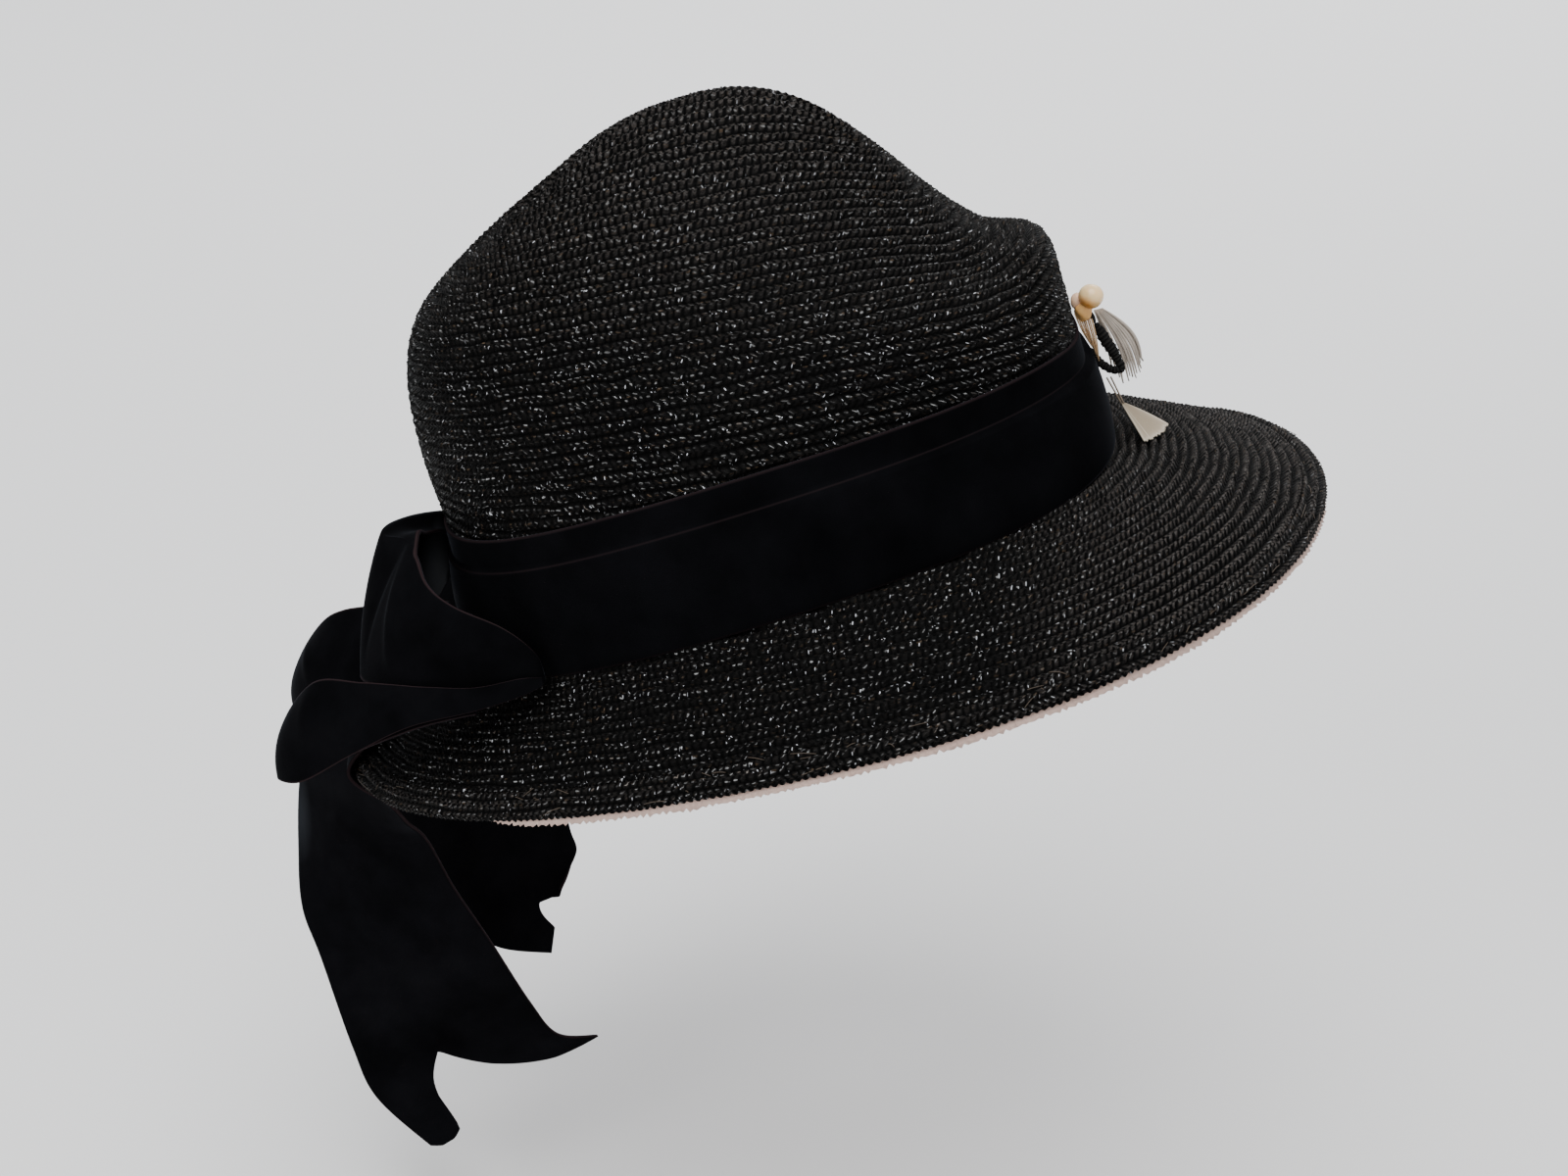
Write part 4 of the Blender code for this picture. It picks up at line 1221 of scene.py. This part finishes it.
class HAT_OT_band(bpy.types.Operator):
    """Winds the velvet ribbon round the foot of the crown, with its lengthwise tuck."""

    bl_idname = "straw_hat.band"
    bl_label = "Velvet band"

    def execute(self, context):
        settings = context.scene.straw_hat.ribbon
        u, v = grid_places(360, 48)
        points = to_world(band_points(SEAM + 2 * pi * u, v))
        points[:, -1] = points[:, 0]
        bm = mapped_grid(points, 0.57, turned=True)
        close_and_face(bm, away_from((0, 0, 0)))
        # Its line at 0.225 across is the painted highlight along the tuck.
        velvet = black_velvet("black velvet band", settings, 0.018, 0.6, line_at=0.225)
        band = add_piece("velvet_band", bm, velvet, "black_velvet", "hat_band")
        add_wall(band, settings.thickness, -1.0)
        return {"FINISHED"}


def turned_edge(stations, crest, u, v):
    """A ribbon whose upper edge curls over, from where the crest rows begin, to lie along them."""
    last = len(stations) - 1
    start = last + 1 - len(crest)
    share = CURL_SHARE * smoothstep((v * last - start) / 1.2)
    points = ribbon_points(stations, np.clip((u - share) / (1 - share), 0.0, 1.0), v)
    over = np.clip((share - u) / np.maximum(share, 1e-6), 0.0, 1.0)[..., None]
    edge = ribbon_points(stations, 0 * u, v)
    lies = blend_rows(crest, np.maximum(v * last - start, 0.0), Barb._fields)
    bulge = np.array((-0.6, -0.9, 0.0)) * np.sin(pi * over) * share[..., None] / CURL_SHARE
    points = np.where(over > 0, edge + (lies - edge) * over + bulge, points)
    points[..., 0] += 2.4 * smoothstep((v * last - start - 3.5) / 2.0)
    return points


def crease(shape, u, v, folds):
    """Presses soft folds across a ribbon; each runs at a slant and fades out towards the lower edge."""
    out = square_to(np.gradient(shape, axis=0), np.gradient(shape, axis=1))
    for place, slant, width, depth in folds:
        off = (v - place - slant * (u - 0.5)) / width
        pressed = depth * np.exp(-(off**2)) * np.sin(pi * np.clip(u * 1.15, 0, 1))
        shape = shape + out * pressed[..., None]
    return shape


def ribbon_piece(name, node, stations, material, settings, columns, cuts=None, crest=None, folds=()):
    """A length of ribbon through its stations, with its end cut, its edge curled or folds in it."""
    u, v = grid_places(columns, 150)
    place = v
    if cuts:
        short = np.interp(u, [cut.across for cut in cuts], [cut.short for cut in cuts])
        place = v * (1.0 - short * smoothstep(v))
    shape = turned_edge(stations, crest, u, v) if crest else ribbon_points(stations, u, place)
    bm = mapped_grid(to_world(crease(shape, u, v, folds)), along=0.2)
    bmesh.ops.remove_doubles(bm, verts=bm.verts, dist=1e-6)
    bm.normal_update()
    return add_wall(add_piece(name, bm, material, "black_velvet", node), settings.thickness)


def ribbon_area(piece, flat):
    """The ribbon's own area, at most that of its flat size."""
    return min(sum(polygon.area for polygon in piece.data.polygons), flat[0] * flat[1])


class HAT_OT_bow(bpy.types.Operator):
    """Ties the three loops of the bow."""

    bl_idname = "straw_hat.bow"
    bl_label = "Bow loops"

    def execute(self, context):
        settings = context.scene.straw_hat.ribbon
        # Painted highlight: a bluish patch of light on the far wall inside the upper loop.
        inside = ((-99.5, 13.0, 11.0), (0.018, 0.009, 0.017), (0.046, 0.048, 0.052))
        # Painted light: the bow's velvet is a lighter copy of the band's (lift 1.15).
        velvet = black_velvet("black velvet ribbon", settings, 0.02, 1.5, 1.15, painted_light_patch=inside)
        for name, node, stations, flat, crest, folds in (
            ("loop_upper", "bow_loop_upper", LOOP_UPPER, (0.046, 0.128), UPPER_CREST, UPPER_FOLDS),
            ("loop_rear", "bow_loop_rear", LOOP_REAR, (0.027, 0.153), None, REAR_FOLDS),
            ("loop_lower", "bow_loop_lower", LOOP_LOWER, (0.022, 0.184), None, LOWER_FOLDS),
        ):
            piece = ribbon_piece(name, node, stations, velvet, settings, 36, crest=crest, folds=folds)
            area = ribbon_area(piece, flat)
        return {"FINISHED"}


class HAT_OT_tails(bpy.types.Operator):
    """Hangs the two dovetailed tails over the back of the brim."""

    bl_idname = "straw_hat.tails"
    bl_label = "Ribbon tails"

    def execute(self, context):
        settings = context.scene.straw_hat.ribbon
        # Painted highlight: light on the long tail's turned fold.
        turned = ((-174.0, -68.0, -11.0), (0.010, 0.0055, 0.019), (0.0135, 0.0150, 0.0175))
        # Painted light: the tails' velvet is a lighter copy of the band's (lift 1.5), as they hang in shade.
        velvet = black_velvet("black velvet tail", settings, 0.004, 0.7, 1.5, painted_light_patch=turned)
        for name, node, stations, cuts, flat in (
            ("ribbon_tail_long", "tail_long", TAIL_LONG, LONG_DOVETAIL, (0.060, 0.205)),
            ("ribbon_tail_short", "tail_short", TAIL_SHORT, SHORT_DOVETAIL, (0.062, 0.190)),
        ):
            piece = ribbon_piece(name, node, stations, velvet, settings, 48, cuts, folds=TAIL_FOLDS)
            area = ribbon_area(piece, flat)
        return {"FINISHED"}


def bulb_mesh(spec, lumps, seed):
    """A leaning bulb with gentle lumps, set in its place."""
    bm = bmesh.new()
    bmesh.ops.create_uvsphere(bm, u_segments=40, v_segments=24, radius=1.0)
    bmesh.ops.rotate(bm, verts=bm.verts, cent=(0, 0, 0), matrix=Matrix.Rotation(radians(spec.lean), 3, "X"))
    noise = np.random.default_rng(seed)
    waves = noise.normal(0, 1, (5, 3)) * 2.2
    phase = noise.random(5) * 2 * pi
    centre = Vector(to_world(np.array((spec.fore, spec.rise, spec.near))))
    for vert in bm.verts:
        swell = 1.0 + lumps * sum(sin(Vector(w).dot(vert.co) + p) for w, p in zip(waves, phase))
        x, y, z = vert.co
        size = Vector((x * spec.half_wide, y * spec.half_wide, z * spec.half_high))
        vert.co = size * swell * MM + centre
    return bm


class HAT_OT_bead(bpy.types.Operator):
    """Sets the bead, the seed beside it and the amber bud."""

    bl_idname = "straw_hat.bead"
    bl_label = "Bead and bud"

    def execute(self, context):
        settings = context.scene.straw_hat.trim
        add_piece("bead", bulb_mesh(BEAD, 0.012, 5), bead_gloss(settings), "cream_bead", "trim_bead")
        amber = soft_material("amber bud", settings.amber, (0.80, 0.50, 0.20), 0.5, 420.0)
        add_piece("bud", bulb_mesh(BUD, 0.03, 6), amber, "amber_bud", "trim_bud")
        peach = soft_material("peach seed", (0.86, 0.60, 0.42), (0.78, 0.46, 0.28), 0.5, 420.0)
        add_piece("seed", bulb_mesh(SEED, 0.05, 7), peach, "amber_bud")
        return {"FINISHED"}


class HAT_OT_threads(bpy.types.Operator):
    """Draws the cream threads that hang from the bud and meet below."""

    bl_idname = "straw_hat.threads"
    bl_label = "Cream threads"

    def execute(self, context):
        settings = context.scene.straw_hat.trim
        noise = np.random.default_rng(11)
        whole = bmesh.new()
        t = np.linspace(0, 1, 15)[:, None]
        for i in range(settings.threads):
            spread = i / (settings.threads - 1)
            top = np.array((97.6 + 4.4 * spread, 40.6 - 1.4 * spread, -9.2 - 1.0 * sin(3 * i)))
            foot = np.array((101.0 + 0.6 * spread, 28.2 - 4.0 * spread + noise.random(), -9.2))
            bulge = np.array((0.8 * (spread - 0.5), 0.0, 0.9 + 0.5 * sin(2.1 * i)))
            line = top * (1 - t) + foot * t + bulge * np.sin(pi * t)
            join_meshes(whole, tube_grid(line, 0.27 - 0.11 * t[:, 0], 6))
        cream = soft_material("cream thread", (0.62, 0.44, 0.25), (0.36, 0.19, 0.08), 0.55, 300.0)
        add_piece("threads", whole, cream, "amber_bud", "trim_stamens")
        return {"FINISHED"}


class HAT_OT_wrapped_loop(bpy.types.Operator):
    """Bends the wrapped wire into its loop, with the small leaf above it."""

    bl_idname = "straw_hat.wrapped_loop"
    bl_label = "Wrapped loop"

    def execute(self, context):
        strips = (*WRAPPED_LOOP, Strand(100.3, 27.4, -11.0, 0.9))
        places = np.linspace(0, len(strips) - 1, 97)
        values = blend_rows(strips, places, Strand._fields)
        values[:, 0] -= 1.0
        values[:, 1] += 0.9
        values[:, 3] *= np.interp(places, (0, 1, 3, 5, 6, 8, 10), (0.9, 1.35, 1.3, 1.05, 1.05, 1.1, 0.9))
        wrap = 1.0 + 0.10 * np.sin(places * 2 * pi * 1.6) + 0.05 * np.sin(places * 2 * pi * 3.7 + 1.0)
        bm = tube_grid(values[:, :3], values[:, 3] * wrap, 14, flat=0.6, pattern=28.0)
        t = np.linspace(0, 1, 13)[:, None]
        line = np.array((102.0, 40.9, -9.4)) * (1 - t) + np.array((102.9, 35.4, -9.8)) * t
        leaf = tube_grid(line, 0.75 * np.sin(pi * np.clip(t[:, 0], 0.03, 0.97)), 10, flat=0.4)
        join_meshes(bm, leaf)
        add_piece("wrapped_loop", bm, wrapped_thread(), "wrapped_wire", "trim_wrapped_loop")
        return {"FINISHED"}


class HAT_OT_plume(bpy.types.Operator):
    """Fans the plume's barbs forward and down."""

    bl_idname = "straw_hat.plume"
    bl_label = "Feather plume"

    def execute(self, context):
        settings = context.scene.straw_hat.trim
        noise = np.random.default_rng(21)
        whole = bmesh.new()
        along = np.linspace(0, 1, 17)
        for i in range(settings.barbs):
            across = np.clip(i / (settings.barbs - 1) + noise.normal(0, 0.015), 0, 1)
            reach = 1.0 - 0.12 * noise.random()
            line = fan_points(PLUME_ROOT, PLUME_TIPS, PLUME_SWELL, np.full(17, across), along * reach)
            line[:, 0] += 2.4 * (across - 0.5) * (1 - along)
            line[:, 2] += 1.6 * noise.normal() * along * (1 - 0.4 * along) * 0.5
            width = (0.36 + 0.20 * noise.random()) * np.sin(pi * np.clip(along, 0.04, 0.97)) ** 0.4
            join_meshes(whole, tube_grid(line, width, 6, flat=0.5))
        grey = soft_material("plume barb", settings.barb, tinted(settings.barb, 1.7), 0.6, 300.0)
        add_piece("plume", whole, grey, "grey_feather", "feather_plume")
        return {"FINISHED"}


class HAT_OT_petal(bpy.types.Operator):
    """Trims the feather tip that lies on the brim, and its two bare quills."""

    bl_idname = "straw_hat.petal"
    bl_label = "Feather tip"

    def execute(self, context):
        settings = context.scene.straw_hat.trim
        across, along = grid_places(60, 30)
        noise = np.random.default_rng(31)
        ragged = 0.06 * noise.random(61) + 0.05 * np.exp(-(((np.linspace(0, 1, 61) - 0.85) / 0.04) ** 2))
        blade = fan_points(PETAL_NECK, PETAL_TIPS, 0.0, across, along**0.8 * (1 - ragged))
        blade[..., 0] += 0.5 * (2 * across - 1) * (1 - along)
        blade[..., 1] += 0.7 * np.cos(2 * pi * across) * along * (1 - along) * 2
        bm = mapped_grid(to_world(blade))
        close_and_face(bm, upwards)
        petal = add_piece("petal", bm, feather_vane(settings), "grey_feather", "feather_petal")
        add_wall(petal, 0.0004)

        quills = bmesh.new()
        t = np.linspace(0, 1, 9)[:, None]
        for shift in (-0.7, 0.5):
            root = np.array(PETAL_ROOT) + (shift, 0.0, 0.0)
            line = root * (1 - t) + (np.array(PETAL_NECK) + (shift * 0.5, -0.4, 0.0)) * t
            join_meshes(quills, tube_grid(line, np.full(9, 0.25), 8))
        brown = soft_material("bare quill", (0.26, 0.20, 0.14), (0.14, 0.10, 0.07), 0.5, 300.0)
        add_piece("quills", quills, brown, "grey_feather")
        return {"FINISHED"}


class HAT_PT_sidebar(bpy.types.Panel):
    """Lists the steps that make the hat, and its sizes and colours."""

    bl_idname = "HAT_PT_sidebar"
    bl_label = "Straw hat"
    bl_space_type = "VIEW_3D"
    bl_region_type = "UI"
    bl_category = "Straw hat"

    def draw(self, context):
        for operator in STEPS:
            self.layout.operator(operator.bl_idname)
        settings = context.scene.straw_hat
        for group in (settings.straw, settings.ribbon, settings.trim, settings.stage):
            box = self.layout.box()
            for name in group.bl_rna.properties.keys():
                if name not in ("rna_type", "name"):
                    box.prop(group, name)


STEPS = (
    HAT_OT_stage,
    HAT_OT_crown,
    HAT_OT_brim,
    HAT_OT_rolled_edge,
    HAT_OT_fibres,
    HAT_OT_facing,
    HAT_OT_band,
    HAT_OT_bow,
    HAT_OT_tails,
    HAT_OT_bead,
    HAT_OT_threads,
    HAT_OT_wrapped_loop,
    HAT_OT_plume,
    HAT_OT_petal,
)
GROUPS = (StrawSettings, RibbonSettings, TrimSettings, StageSettings, HatSettings)


def register():
    for made in (*GROUPS, *STEPS, HAT_PT_sidebar):
        bpy.utils.register_class(made)
    bpy.types.Scene.straw_hat = PointerProperty(type=HatSettings)


def unregister():
    del bpy.types.Scene.straw_hat
    for made in reversed((*GROUPS, *STEPS, HAT_PT_sidebar)):
        bpy.utils.unregister_class(made)


def main():
    register()
    for step in STEPS:
        section, name = step.bl_idname.split(".")
        getattr(getattr(bpy.ops, section), name)()


if __name__ == "__main__":
    main()
